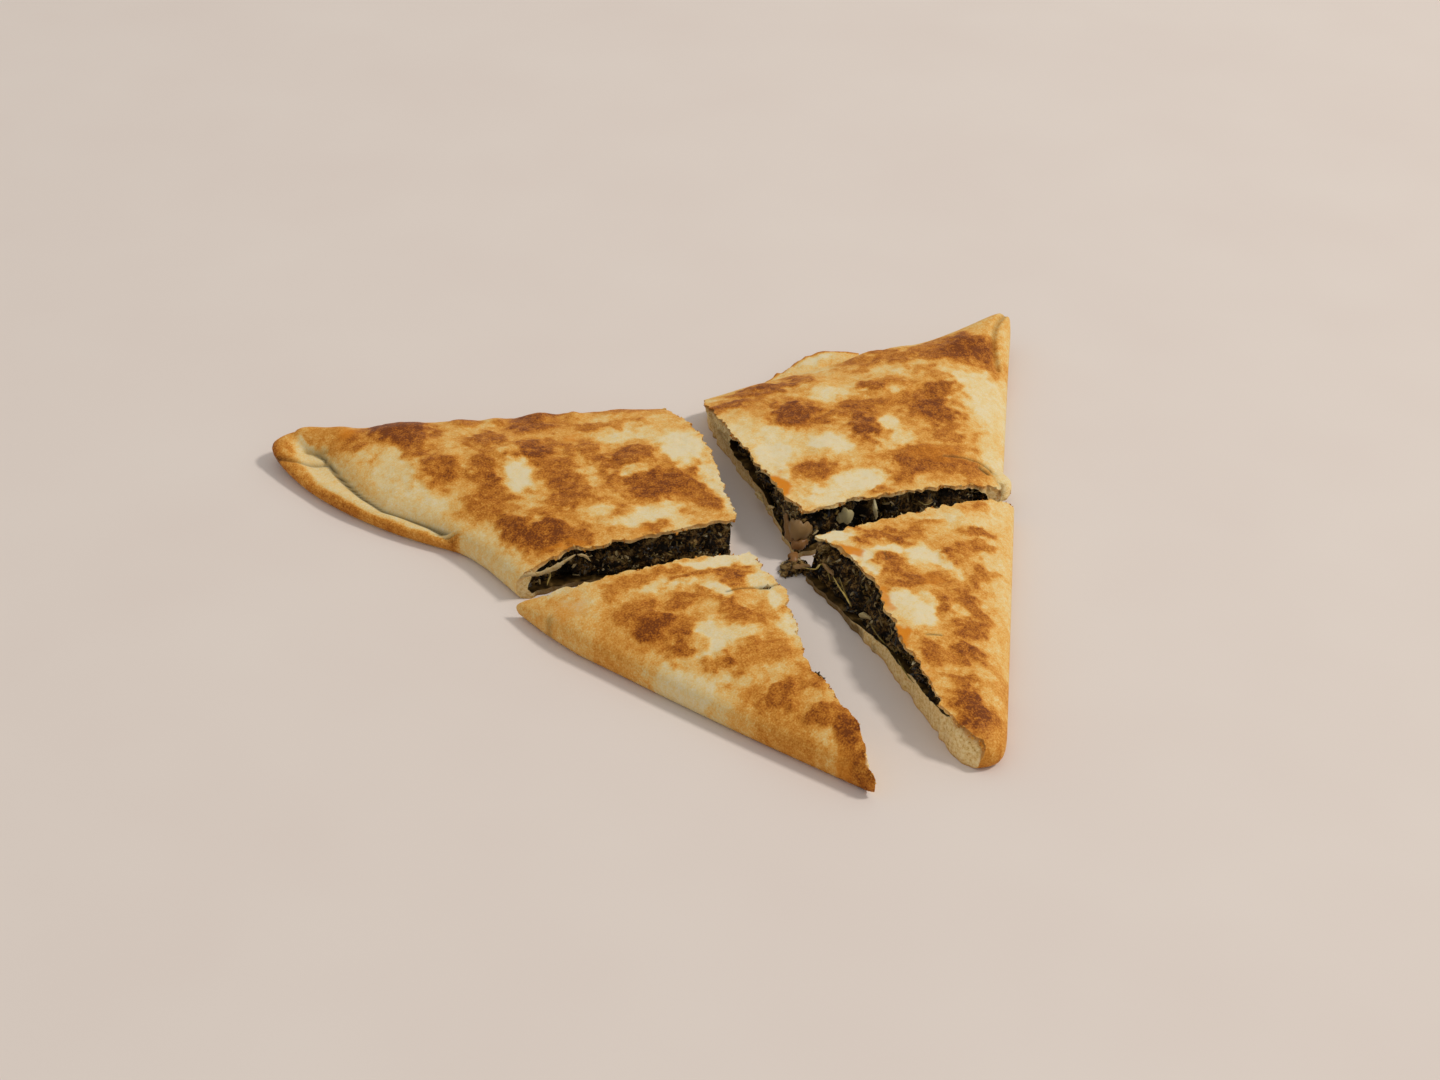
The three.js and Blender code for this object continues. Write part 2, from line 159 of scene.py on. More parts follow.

# ---- the four slices ----
# hub: a point just past the slice's centre corner, from which its surface is spun out.
# outline: the outer sides, from one far end past a cut, round the tip, to the far end past the other cut.
# sway: for a stretch of the outline, by its number, (distance along it, how far the side bulges there).
# lip: the outline of the folded lip, and rim: where the spokes of such a slice end, past body and lip.
# outside: a point well clear of the slice beyond its outer sides.
# cuts: the two knife cuts, each from the outer side to the centre corner. crust is the line of the top
#   crust's edge and base that of the base crust.
# fullness: exponent of the superelliptic section. curl: (lift, reach) of the tip, which baked up.
# pressed: (x, y, radius, share) of the places where the pie was pressed flatter.
# side: dough between the outer side and the filling, and filling_end: between the tip and the filling.
# pocket: the filling's own outline, where it isn't the slice's.
# wedge: run from the filling's end over which it thins out above a thickening base crust.
# shelf: (x, y, half length along X, half length along Y, share) of base crust torn up into the filling.
# blisters: (x, y, radius, height) of the scorched bubbles that lift the crust.
# flank_bake_and_bounce_light: brownness of the outer side, with warm bounced light painted in on the front
#   slice. tone: what the whole crust's brownness adds to the common one.
# The marks are each (x, y, half length along X, half length along Y, strength):
#   scorches are browned, pale ones stayed white, washes have a brownness of their own in place of a
#   strength, stains are coloured oil, and juice wets the low crumb.
# creases: (path, half width, depth, strength of the painted shade in them) of folds and cracks in the crust.
# notches: (x, y, radius, depth) of the bits torn out of the crust's cut edge, and pits: the same, of the
#   hollows in the filling's cut face.
SLICES = {
    "left": {
        "hub": (6, -6),
        "outline": ((6, 78), (-114, 99), (-66, -1)),
        "tip": (-114, 99),
        "outside": (-165, 140),
        "lip": ((6, 78), (-106, 100.5), (-121, 96), (-116.4, 76.5), (-111, 65.4), (-96.8, 45.8), (-82, 31.6),
                (-68, 22.8)),
        "rim": ((6, 78), (-106, 100.5), (-121, 96), (-116.4, 76.5), (-111, 65.4), (-96.8, 45.8), (-84, 33),
                (-81.5, 29), (-66, -1)),
        "sway": {1: ((0, 0), (12, 0), (17, -1.6), (28, 0.9), (41, 3), (50, 3.2), (58, 0.5), (65, -1.5),
                     (73, -2.8), (80, -3.4), (88, -3.4), (98, -2.2), (111, -0.6))},
        "flank_bake_and_bounce_light": 0.2,
        "tone": 0,
        "pressed": (),
        "fullness": 2.7,
        "curl": (3, 26),
        "side": 2.8,
        "filling_end": 34,
        "cuts": (
            {
                "crust": ((-3, 80), (-1, 66), (0.5, 50), (-1, 33), (-2.5, 20), (-4.5, 6)),
                "base": ((-3, 80), (-1, 64), (0, 44), (-2, 24), (-5, 8)),
            },
            {
                "crust": ((-70, 6.5), (-56, 7.5), (-44, 6.5), (-30, 6), (-15, 6.3), (-4.5, 6)),
                "base": ((-70, 6), (-52, 7), (-30, 6), (-5, 6.5)),
            },
        ),
        "blisters": ((-99, 90, 6, 1.3), (-83, 84, 9, 1.4), (-65, 82, 5, 1), (-54, 80, 5, 1.6),
                     (-41, 80, 6, 1.9), (-31, 77, 4, 1.5), (-18, 75, 6, 0.7), (-82, 60, 8, 0.7),
                     (-56, 58, 7, 0.7), (-36, 52, 8, 0.7), (-60, 26, 8, 0.8), (-20, 44, 9, 0.7)),
        "scorches": ((-82, 84, 8, 11, 1.0), (-80, 71, 5, 7, .7), (-78, 57, 7, 7, .75), (-60, 67, 7, 5, .65),
                     (-62, 83, 4, 4, .5), (-44, 76, 7, 7, .75), (-34, 83, 5, 5, .8), (-25, 82, 4, 4, .6),
                     (-64, 52, 4, 9, .7), (-67, 38, 7, 9, .6), (-49, 57, 7, 6, .9), (-44, 43, 7, 9, .65),
                     (-38, 52, 3, 3, .5), (-32, 48, 3, 9, .6), (-22, 45, 7, 6, .7), (-45, 30, 8, 5, .6),
                     (-30, 34, 4, 4, .5), (-20, 29, 12, 9, .85), (-9, 20, 4.5, 11, .65),
                     (-63, 22, 5, 8, .85), (-56, 17, 7, 6, .9), (-48, 12, 6, 3, .6), (-28, 9, 3, 3, .6),
                     (-33, 20, 2.5, 2.5, .45), (-28, 68, 4, 3, .45), (-20, 66, 6, 3, .4),
                     (-12, 77, 8, 4, .6), (-97, 84, 5, 5, .5), (-117, 90, 3, 5, .7)),
        "pale": ((-56, 46, 4.5, 9, 1), (-56, 58, 3, 4, .6), (-37, 42, 4, 3, .6), (-24, 38, 4.5, 3.5, .95),
                 (-7, 46, 7, 12, 1), (-4, 28, 3.5, 10, .8), (-3, 14, 3, 7, .7), (-27, 16, 12, 4.5, .85),
                 (-40, 22, 5, 3, .5), (-20, 58, 9, 3.5, .6), (-88, 46, 9, 22, .9)),
        "washes": ((-88, 50, 7, 30, .14), (-72, 14, 8, 18, .18), (-117, 92, 6, 9, .72),
                   (-103, 92, 10, 6, .45), (-99, 84, 5, 4, .5)),
        "stains": ((-36, 62, 3, 3, .5), (-53, 10.5, 6, 1.5, .5), (-98, 86, 3.5, 3, .6),
                   (-30, 9, 4, 1.2, .4)),
        "creases": ((((-118.5, 89), (-114.7, 85.4), (-110, 83), (-104, 81.5)), 0.8, .8, .5),
                    (((-109.5, 88.7), (-104.2, 85)), 0.7, .6, .4)),
        "notches": ((-52, 7, 3, 1.1), (-15, 6, 4, .7)),
        "juice": ((-34, 6, 32, 8, 1),),
        "pits": ((-53, 7, 4, 3), (-44, 7, 2, 1.4), (-33, 7, 2, 1.4), (-22, 7, 1.4, 1.6), (-60, 7, 2, 1)),
    },
    "front": {
        "hub": (6, 2),
        "outline": ((-78, 5), (-39, -57), (2, -109.5)),
        "tip": (-5, -104),
        "outside": (-95, -95),
        "sway": {0: ((0, -3.5), (10, -3.2), (22, -1), (34, 0.4), (50, 0))},
        # browner, partly as painted warm light bounced up onto this side
        "flank_bake_and_bounce_light": 0.36,
        "tone": -0.02,
        "pressed": ((-73, -1, 13, .6),),
        "fullness": 2.6,
        "curl": (0, 1),
        "side": 3.2,
        "filling_end": 26,
        "cuts": (
            {
                "crust": ((-4.5, -102), (-3.4, -88), (-5, -72), (-7, -57), (-5, -46), (-4.5, -38),
                          (-2.6, -31), (-4, -22), (-5.6, -9)),
                "base": ((-4.5, -102), (-3.5, -80), (-4.5, -50), (-2.5, -26), (-6.5, -8)),
            },
            {
                "crust": ((-73, -0.5), (-60, -4.4), (-48, -7.6), (-34, -8.8), (-20, -8.6), (-5.6, -9)),
                "base": ((-73, -1), (-52, -7), (-30, -9), (-6.5, -8)),
            },
        ),
        "blisters": ((-42, -28, 9, 1), (-22, -52, 8, 0.7), (-19, -24, 7, 0.6), (-9, -78, 6, 0.9),
                     (-12, -58, 6, 0.6)),
        "scorches": ((-40, -32, 5.5, 6, 1), (-44, -25, 6, 6, .55), (-34, -42, 4, 5, .65),
                     (-27, -51, 5, 4, .75), (-17, -52, 7, 6, .38), (-30, -24, 8, 3.5, .55),
                     (-19, -33, 4, 6, .6), (-14, -20, 4, 5, .65), (-12, -36, 4, 4, .42),
                     (-42, -13, 8, 3, .45), (-30, -11, 5, 2.5, .5), (-23, -16, 9, 2.2, .55),
                     (-18, -68, 5, 4, .65), (-24, -62, 4, 4, .3), (-7, -66, 3.5, 5, .5),
                     (-12, -79, 4, 4, .65), (-7, -88, 5, 8, .95), (-60, -10, 4, 2.5, .3),
                     (-33, -34, 4, 5, .4)),
        "pale": ((-19, -11, 9, 2.6, 1), (-8, -12, 4, 3, .9), (-20, -23, 2.8, 6, .9), (-27, -18.5, 5, 2, .8),
                 (-29, -42, 4.5, 8, .9), (-20, -43, 4, 3, .6), (-8, -24, 3.5, 4, .8), (-7, -31, 3, 5, .85),
                 (-7, -44, 2.5, 7, .7), (-36, -17, 5, 2, .6), (-66, -6, 8, 7, .7)),
        "washes": ((-52, -32, 6, 8, .45), (-20, -84, 9, 17, .5), (-6, -99, 5, 8, .66), (-69, -6, 8, 8, .32),
                   (-43, -47, 4.5, 4, .14), (-39, -52, 4.5, 4.5, .1), (-35, -57, 4.5, 4.5, .1),
                   (-31, -62.5, 4, 4, .2)),
        "stains": ((-12, -95, 4, 6, .4), (-60, -14, 5, 4, .3)),
        "creases": ((((-18, -25.6), (-12, -25.2), (-7, -26.4), (-3, -26)), .45, .4, .6),
                    (((-8.5, -26.2), (-6.5, -26.6)), .9, .5, .8),
                    (((-64, -13), (-65, -17), (-67, -21)), 1, .3, .35)),
        "notches": ((-5, -18.5, 2, 1.2), (-4, -26, 1.5, .9), (-4, -35.5, 2, 1.3), (-5, -46, 2, .8),
                    (-6, -63, 3, 1.6), (-3.6, -95, 2, 1.2)),
        "juice": (),
        "pits": ((-6, -60, 2, 2),),
    },
    "back": {
        "hub": (4, -8),
        "outline": ((1, 80.5), (60, 93.5), (122.5, 99.5), (77.5, 5)),
        "tip": (122.5, 99.5),
        "outside": (165, 140),
        "sway": {},
        "flank_bake_and_bounce_light": 0.2,
        "tone": -0.02,
        "pressed": (),
        "fullness": 2.3,
        "curl": (8, 34),
        "side": 0,
        "pocket": ((-10, 44), (60, 77), (104, 84), (71.5, 0)),
        "shelf": (12, 38, 8, 19, .55),
        "filling_end": 34,
        "cuts": (
            {
                "crust": ((11.4, 84), (9.6, 66), (10.2, 46), (12, 24), (14.4, 4)),
                "base": ((13.4, 84), (11.2, 68), (11.8, 54), (13, 40), (13.2, 20), (12.4, 2)),
            },
            {
                "crust": ((85, 11), (73, 10), (62, 8.5), (46, 7.5), (30, 6.5), (14, 4)),
                "base": ((85, 10.5), (66, 9), (42, 7.5), (12, 2)),
            },
        ),
        "blisters": ((97, 84, 10, 1.2), (67, 88, 5, 1.4), (79, 88, 6, 0.9), (44, 72, 7, 0.9),
                     (28, 79, 6, 0.6), (62, 63, 8, 0.8), (86, 62, 9, 0.9), (72, 90, 7, 0.7),
                     (33, 34, 6, 0.5), (68, 26, 10, 0.8)),
        "scorches": ((98, 80, 9, 9, 1.0), (86, 82, 7, 6, .65), (73, 82, 7, 7, .65), (61, 83, 5, 6, .5),
                     (42, 78, 4, 5, .6), (32, 75, 7, 5, .8), (16, 69, 7, 4, .75), (23, 76, 5, 2.6, .6),
                     (41, 84, 5, 2.4, .6), (32, 55, 7, 8, .95), (42, 50, 3, 1.6, .5), (59, 65, 5, 4, .7),
                     (68, 65, 4, 3, .5), (54, 53, 7, 4, .65), (48, 42, 5, 8, .85), (72, 47, 8, 8, .85),
                     (79, 57, 8, 3.5, .7), (72, 34, 7, 5, .6), (58, 23, 11, 7, .7), (70, 17, 6, 6, .6),
                     (52, 17, 5, 4, .45), (27, 24, 7, 4.5, .7), (41, 9.5, 3.5, 2.5, .6),
                     (21, 12, 2.5, 1.5, .35), (81, 66, 4, 4, .4), (49, 60, 3, 2, .3)),
        "pale": ((18, 37, 6, 6, 1), (15, 28, 4, 10, .8), (35, 36, 7, 6, 1), (37, 15, 9, 6, 1),
                 (56, 41, 4, 4.5, .8), (58, 34, 4, 3.5, .6), (45, 63, 7, 5, .5), (92, 50, 6, 18, .8),
                 (24, 10, 7, 5, .9), (22, 46, 6, 4, .6), (50, 30, 4, 4, .6)),
        "washes": ((96, 52, 5, 26, .1), (112, 92, 7, 5, .3), (84, 18, 5, 9, .1), (49, 95, 13, 4, .04)),
        "stains": ((13.6, 19, 3, 6, 1), (64, 24, 9, 5, .3), (30, 83, 6, 4, .3)),
        "creases": ((((66, 22.9), (71, 22.6), (75, 21.8), (78, 20), (79.4, 17.5), (79, 14)), .5, .6, .75),
                    (((76, 18.6), (77.5, 16.5)), .9, .8, .9),
                    (((119, 97), (111, 88), (107.5, 80), (105, 71)), 1, 1.2, .3)),
        "notches": ((32, 6.5, 2.5, 1.3), (41, 7.5, 2.5, .8), (14, 6, 3, 1.2), (11, 40, 4, .8)),
        "juice": ((20, 3, 8, 5, .7),),
        "pits": ((34.5, 8, 2, 5), (41.5, 8.5, 1.8, 4), (29, 7, 1.4, 3), (21, 6, 1.4, 2), (12, 28, 2, 2),
                 (52, 9, 2, 1.4), (60, 10, 1.6, 1.6)),
    },
    "right": {
        "hub": (2, 2),
        "outline": ((85.5, 13.5), (31.5, -101.5), (6, -93.5)),
        "tip": (30, -100),
        "outside": (110, -105),
        "sway": {},
        "flank_bake_and_bounce_light": 0.24,
        "tone": 0.01,
        "pressed": (),
        "fullness": 2.5,
        "curl": (0, 1),
        "side": 4.5,
        "filling_end": 15,
        "wedge": 24,
        "cuts": (
            {
                "crust": ((31.5, -101), (27.5, -97), (23, -92), (21, -86), (20.9, -79), (20.8, -68),
                          (20.2, -56), (20.4, -45), (22, -35), (20.6, -25), (18.6, -16), (14, -8)),
                "base": ((31, -103.5), (24.4, -98.6), (21.6, -92), (21, -80), (19.6, -56), (15.6, -28),
                         (12, -8)),
            },
            {
                "crust": ((84, 3), (64, -1), (47, -3.5), (31, -6), (14, -8)),
                "base": ((84, 3), (58, -1), (34, -5), (12, -8)),
            },
        ),
        "blisters": ((39, -76, 7, 1), (50, -22, 6, 0.7), (36, -38, 6, 0.5), (46, -55, 5, 0.5),
                     (60, -8, 6, 0.6)),
        "scorches": ((28, -87, 6, 7, 1), (30, -77, 6, 4, .6), (35, -65, 5, 4, .8), (25, -64, 4, 6, .55),
                     (45, -43, 4, 5, .65), (40, -55, 5, 4, .65), (36, -47, 3, 4, .55), (46, -50, 3, 5, .5),
                     (50, -36, 3.6, 2.6, .6), (56, -32, 4, 2.6, .55), (60, -22, 3.4, 2.6, .55),
                     (53, -24, 2.6, 3, .4), (61, -15, 4, 2.6, .75), (66, -4, 5, 3, .5),
                     (46.5, -26, 2.5, 3, .7), (30, -26, 5, 6, .6), (31, -34, 7, 3, .6),
                     (35, -13, 9, 3, .62), (26, -12, 3, 4, .5), (49, -9, 5, 1.8, .4), (40, -34, 4, 3, .4)),
        "pale": ((25, -21, 4, 3, 1), (32, -18.6, 4.6, 2.2, 1), (23.5, -26, 2.8, 4, 1), (40, -23, 4, 4, 1),
                 (44.5, -26, 3.4, 3.6, .95), (38, -27, 2.5, 2.5, .7), (27, -42, 3.6, 4.5, .9),
                 (30, -49, 4.2, 5, 1), (34, -44, 2.5, 3, .6), (20, -9, 6, 3, 1), (45, -33, 3, 4, .6),
                 (72, -6, 6, 6, .6), (52, -8, 6, 2, .5), (41, -48, 2.5, 4, .5)),
        "washes": ((30, -95, 7, 9, .5), (60, -40, 3, 40, .2), (78, 2, 6, 6, .2), (24, -80, 3, 9, .3),
                   (17, -9, 4, 2.5, .03), (41, -79, 5, 9, .46), (50, -61, 4, 8, .32)),
        "stains": ((38, -36, 3, 3, .3), (20.5, -17, 2.8, 3, .9), (21, -57, 2.6, 6, 1),
                   (21.5, -41, 1.8, 5, .8), (20.5, -70, 1.5, 6, .4)),
        "creases": ((((30, -20), (29, -24)), .3, .2, .5), (((27, -57.6), (31, -58.4)), .4, .3, .7)),
        "notches": ((20, -14, 2, 1), (22.5, -32, 2.5, .9), (21, -50, 3, .8), (22, -68, 2, .8)),
        "juice": ((13, -26, 6, 30, .9),),
        "pits": ((19, -31, 1.6, 2), (19, -44, 1.6, 2), (20.5, -56, 1.6, 2), (17, -22, 1.5, 1.6)),
    },
}

# ---- flaps of dough ----
# inner and rim: (x, y, z) along the inner and the outer edge, from one end to the other.
# edge: how brown the outer edge baked.
FLAPS = {
    "left": (),
    "front": (),
    "back": (
        {
            "thick": 2.4,  # the seam's lower lip behind the back edge
            "inner": ((27, 83, 3), (36, 85, 3.6), (45, 87.5, 4.6), (55, 89.5, 6), (66, 90, 7)),
            "rim": ((27, 86.5, 2.6), (36, 90.5, 3.4), (44, 94.4, 4.4), (51, 96.8, 5.6), (58, 96.6, 6.8),
                    (67, 93, 7.4)),
            "edge": 0.66,
        },
        {
            "thick": 4.4,  # the torn flap where the cross cut leaves the right side
            "inner": ((76, 22, 6.5), (75, 15, 6), (73, 8.5, 5)),
            "rim": ((81.5, 22, 6), (84.5, 15, 5), (80, 6.5, 4)),
            "edge": 0,
        },
    ),
    "right": (),
}


# ---- bits that lie at one place: (path of (x, y, z), radius, height for its width, tone) ----
DOUGH_ROLLS = (
    (((-67, 5.8, 7.4), (-65, 5.2, 8.6), (-62.5, 5.4, 8.2), (-60, 5.2, 8.6), (-57, 5, 9.6), (-54, 5.4, 11),
      (-51, 6, 12)), 0.4, 2.0, 0.45),  # skin torn off under the crust
    (((-50.5, 6, 12), (-48.5, 5, 11.6), (-47, 4.8, 9.8)), 0.32, 1.4, 0.5),
    (((17.5, -7.2, 11.4), (21, -7.2, 12.2), (26, -6.8, 12.6)), 0.7, 0.8, 0),  # the right slice's corner
    # next, the torn flap, whose tone darkens it with painted shade
    (((78.5, 14, 6.5), (80.5, 11.5, 6.2), (80, 8.5, 5.4), (77.5, 7, 4.6)), 1.3, 1.1, 0.12),  # the torn flap
    (((11.6, 33, 3.4), (11.4, 29, 5), (11.8, 26.5, 4)), 0.9, 0.7, 0.15),  # base torn up beside the back slice
    (((11.8, 24, 3.2), (11.4, 21, 6), (12, 18.5, 8)), 0.8, 0.6, 0.25),
)
ONION_PIECES = (
    (((13.4, 13.5, 8.4), (12.8, 10.4, 6.6), (12.6, 7.4, 5.4), (12.8, 5, 4.4)), 0.9, 2.4, 0.05),
    (((13, 8.4, 8.8), (12.9, 5, 9), (14.8, 3.6, 8.8), (18.4, 4.8, 7.6)), 1.1, 2.6, 0.12),
    (((12.2, 4.4, 5), (13.6, 2.8, 4.6), (16.6, 3.2, 5.2)), 1.2, 1.5, 0.0),
    (((12, 2.4, 2.4), (11, -0.6, 2.6), (10, -2.6, 1.6)), 1.6, 0.6, 0.0),
    (((26.6, 7.4, 7.8), (29.4, 6.6, 8.8), (32, 7.4, 9.2)), 1.0, 2.2, 0.55),
    (((38.2, 7.6, 13.2), (38, 6.8, 10.5), (38.6, 6.6, 6)), 1.0, 0.6, 0.7),
    (((17.6, -35, 6.4), (17.8, -37, 7.4), (18.6, -40, 8)), 1.3, 0.6, 0.4),
    (((14, -14, 9.4), (15.4, -16, 8.6), (15.8, -18.5, 8)), 0.9, 0.6, 0.1),
    (((9, -3, 1.6), (12, -4.4, 2.4), (15, -4, 1.8)), 1.2, 0.5, 0.1),
)
STRANDS = (
    (((-58.8, 6, 9.4), (-58.4, 5.2, 7.4), (-58.9, 5.4, 5.4), (-59.4, 5.2, 3.8)), 0.24, 0.8, 0.9),
    (((9, -12, 8), (12, -14.6, 8.4), (14, -13.5, 9), (15.4, -15, 7.4), (15.2, -18, 6)), 0.28, 0.8, 0.7),
    (((15, -20, 9.2), (15.4, -24, 8.2), (15.2, -28, 8.6), (16, -32, 6.8)), 0.24, 0.8, 0.9),
    (((16, -22, 10), (16.4, -26, 7.4), (17, -30, 5.4)), 0.22, 0.8, 0.5),
    (((17.4, -42, 8.4), (17.8, -46, 7.2), (18.4, -51, 7.4)), 0.24, 0.8, 0.4),
    (((19, -58, 7.4), (19.4, -62, 6.2), (20, -67, 5.8)), 0.24, 0.8, 0.6),
    (((52, 8, 9), (54, 7.4, 7.6), (57, 8, 7.8)), 0.22, 0.8, 0.5),
)
# heaps of spilled filling, low on the floor or clinging to a cut: (x, y, half length along X, half length
# along Y, height)
HEAPS = ((10.5, -2, 4.6, 3.2, 2.8), (7.6, -4, 2, 1.6, 1.4), (15, -5.4, 3, 2, 1.6),
         (-3.4, -18.5, 1.3, 1.5, 9.6), (-6.6, -26.5, 1.6, 1, 14.4), (-5.6, -62.5, 1.6, 2.4, 10.4),
         (-3.6, -35.5, 1, 1.2, 10))


# ---- settings that a user would change ----

class DoughSettings(bpy.types.PropertyGroup):
    """Sizes and colours of the baked dough."""

    ragged: FloatProperty(
        name="Ragged Edge", description="How far the knife's cuts stray from a smooth line",
        default=0.6 * MM, min=0, max=2 * MM, unit="LENGTH")
    grain: FloatProperty(
        name="Skin Grain", description="Size of the fine flour grain on the crust",
        default=0.5 * MM, min=0.1 * MM, unit="LENGTH")
    stain: FloatVectorProperty(
        name="Oil Stain", description="Crust that the filling's oil coloured",
        subtype="COLOR", size=3, default=(0.63, 0.21, 0.01), min=0, max=1)


class FillingSettings(bpy.types.PropertyGroup):
    """Sizes of the chopped filling."""

    shred: FloatProperty(
        name="Shred Size", description="Length of a chopped bit of leaf",
        default=2.2 * MM, min=0.5 * MM, unit="LENGTH")
    crowd: FloatProperty(
        name="Shreds per Area", description="Bits of leaf on each square metre of cut face",
        default=600000.0, min=0)
    seed: IntProperty(name="Seed", description="Fixes where the chopped bits fall", default=7, min=0)


class StudioSettings(bpy.types.PropertyGroup):
    """Light and floor of the studio."""

    key_power: FloatProperty(
        name="Key Power", description="Strength of the soft key light",
        default=50.0, min=0, unit="POWER")
    fill: FloatProperty(
        name="Fill", description="Strength of the even light from all round", default=0.58, min=0)


# ---- small helpers ----

def linear(code):
    """The linear colour of an sRGB hex code such as "c8a064"."""
    shares = [int(code[i:i + 2], 16) / 255 for i in (0, 2, 4)]
    return [s / 12.92 if s <= 0.04045 else ((s + 0.055) / 1.055) ** 2.4 for s in shares] + [1.0]


def mix(a, b, share):
    """From a at share 0 to b at share 1."""
    return a + (b - a) * share


def smooth(low, high, value):
    """Rises softly from 0 to 1 as the value goes from low to high."""
    share = np.clip((value - low) / (high - low), 0, 1)
    return share * share * (3 - 2 * share)


def bell(x, y, px, py, radius):
    """1 at a place, and less and less round it over about a radius."""
    return np.exp(-((x - px) ** 2 + (y - py) ** 2) / radius**2)


def noise_at(x, y, z, size, seed):
    """Smooth random values from -1 to 1 that change over about size mm."""
    places = [np.asarray(v, float) / size + seed * 7.31 for v in np.broadcast_arrays(x, y, z)]
    cells = [np.floor(p).astype(np.int64) for p in places]
    within = [p - c for p, c in zip(places, cells)]
    eased = [f * f * (3 - 2 * f) for f in within]
    total = 0.0
    for corner in np.ndindex(2, 2, 2):
        a, b, c = [cell + step for cell, step in zip(cells, corner)]
        # large odd factors scatter the cells' keys, of which the low 31 bits are kept
        key = (a * 73856093) ^ (b * 19349663) ^ (c * 83492791) ^ (seed * 2654435761)
        key = (((key ^ (key >> 13)) & 0x7FFFFFFF) * 1274126177) & 0x7FFFFFFF
        value = ((key ^ (key >> 16)) & 0xFFFF) / 32767.5 - 1
        weight = 1.0
        for share, step in zip(eased, corner):
            weight = weight * (share if step else 1 - share)
        total = total + value * weight
    return total


def curve_points(points, step):
    """Even points along a centripetal Catmull-Rom curve through the given ones, about step mm apart."""
    points = np.array(points, float)
    padded = np.vstack([2 * points[0] - points[1], points, 2 * points[-1] - points[-2]])
    dense = []
    for p0, p1, p2, p3 in zip(padded, padded[1:], padded[2:], padded[3:]):
        d0, d1, d2 = [max(np.linalg.norm(b - a), 1e-6) ** 0.5 for a, b in ((p0, p1), (p1, p2), (p2, p3))]
        leave = ((p1 - p0) / d0 - (p2 - p0) / (d0 + d1) + (p2 - p1) / d1) * d1
        arrive = ((p2 - p1) / d1 - (p3 - p1) / (d1 + d2) + (p3 - p2) / d2) * d1
        t = np.linspace(0, 1, 40, endpoint=False)[:, None]
        dense.append((2 * t**3 - 3 * t**2 + 1) * p1 + (t**3 - 2 * t**2 + t) * leave
                     + (3 * t**2 - 2 * t**3) * p2 + (t**3 - t**2) * arrive)
    dense = np.vstack([*dense, points[-1:]])
    along = np.concatenate([[0], np.cumsum(np.linalg.norm(np.diff(dense, axis=0), axis=1))])
    count = max(int(round(along[-1] / step)), 1)
    wanted = np.linspace(0, along[-1], count + 1)
    return np.stack([np.interp(wanted, along, column) for column in dense.T], axis=1)


def path_distance(x, y, path):
    """Distance in plan from each point to a polyline."""
    nearest = np.full(np.shape(x), np.inf)
    for (ax, ay), (bx, by) in zip(path, path[1:]):
        dx, dy = bx - ax, by - ay
        share = np.clip(((x - ax) * dx + (y - ay) * dy) / (dx * dx + dy * dy + 1e-12), 0, 1)
        nearest = np.minimum(nearest, np.hypot(x - ax - share * dx, y - ay - share * dy))
    return nearest


# ---- the slices' surfaces ----

def turn_of(slice_):
    """+1 where the inside lies to the right of the outline's direction, -1 where to its left."""
    (ax, ay), (bx, by) = slice_["outline"][:2]
    hx, hy = slice_["hub"]
    return math.copysign(1, (hx - ax) * (by - ay) - (hy - ay) * (bx - ax))


def inset_at(slice_, x, y, edge="outline"):
    """Distance of a point inside a slice from its outer sides, with softly rounded corners."""
    total = 0.0
    turn = turn_of(slice_)
    for i, ((ax, ay), (bx, by)) in enumerate(zip(slice_[edge], slice_[edge][1:])):
        length = math.hypot(bx - ax, by - ay)
        signed = ((x - ax) * (by - ay) - (y - ay) * (bx - ax)) / length * turn
        if edge == "outline" and i in slice_["sway"]:
            along = ((x - ax) * (bx - ax) + (y - ay) * (by - ay)) / length
            signed = signed + np.interp(along, *np.array(slice_["sway"][i]).T)
        total = total + np.exp(-signed / TIP_ROUNDING)
    return -TIP_ROUNDING * np.log(total)


def tip_distance(slice_, x, y):
    return np.hypot(x - slice_["tip"][0], y - slice_["tip"][1])


def soft_max(a, b, width):
    """The larger of two values, with the crease where they meet rounded over a width."""
    return width * np.logaddexp(a / width, b / width)


def foot_inset(slice_, x, y):
    """Distance inside the whole slice, with the lip that is folded out along its side."""
    body = inset_at(slice_, x, y)
    if "lip" not in slice_:
        return body
    return soft_max(body, inset_at(slice_, x, y, "lip"), LIP_BLEND)


def rise_at(run, reach, fullness):
    """Height over a quarter of a superellipse that rises from 0 to 1 as run goes from 0 to reach."""
    left = 1 - np.clip(run / reach, 0, 1)
    return (1 - left**fullness) ** (1 / fullness)


def curl_at(slice_, x, y):
    """How far the curled tip lifts what stands at a point."""
    lift, reach = slice_["curl"]
    away = tip_distance(slice_, x, y)
    return lift * np.clip(1 - away / reach, 0, 1) ** 1.6


def relief_at(slice_, x, y):
    """The crust's slow waves and its scorched bubbles."""
    height = 0.25 * np.sin(x / 7.3 + y / 19) + 0.2 * np.sin(y / 6.1 - x / 13)
    for bx, by, radius, lift in slice_["blisters"]:
        height = height + lift * np.exp(-1.4 * ((x - bx) ** 2 + (y - by) ** 2) / radius**2)
    return height


def crust_height(slice_, x, y):
    """The height of the crust's top without its fine relief, its creases and its lip."""
    inset = np.maximum(inset_at(slice_, x, y), 0)
    run = inset
    if "lip" in slice_:  # the body swells more slowly out of the crease beside its lip
        beside = smooth(0, 4, inset_at(slice_, x, y, "lip") - inset)
        run = mix(inset, inset**2 / (inset + 2.5), beside)
    dome = mix(WIDEST_HEIGHT, MIDDLE_HEIGHT, rise_at(run, DOME_REACH, slice_["fullness"]))
    for px, py, radius, share in slice_["pressed"]:
        dome = dome - share * (dome - WIDEST_HEIGHT) * bell(x, y, px, py, radius)
    return dome + relief_at(slice_, x, y) * smooth(0, 5, inset)


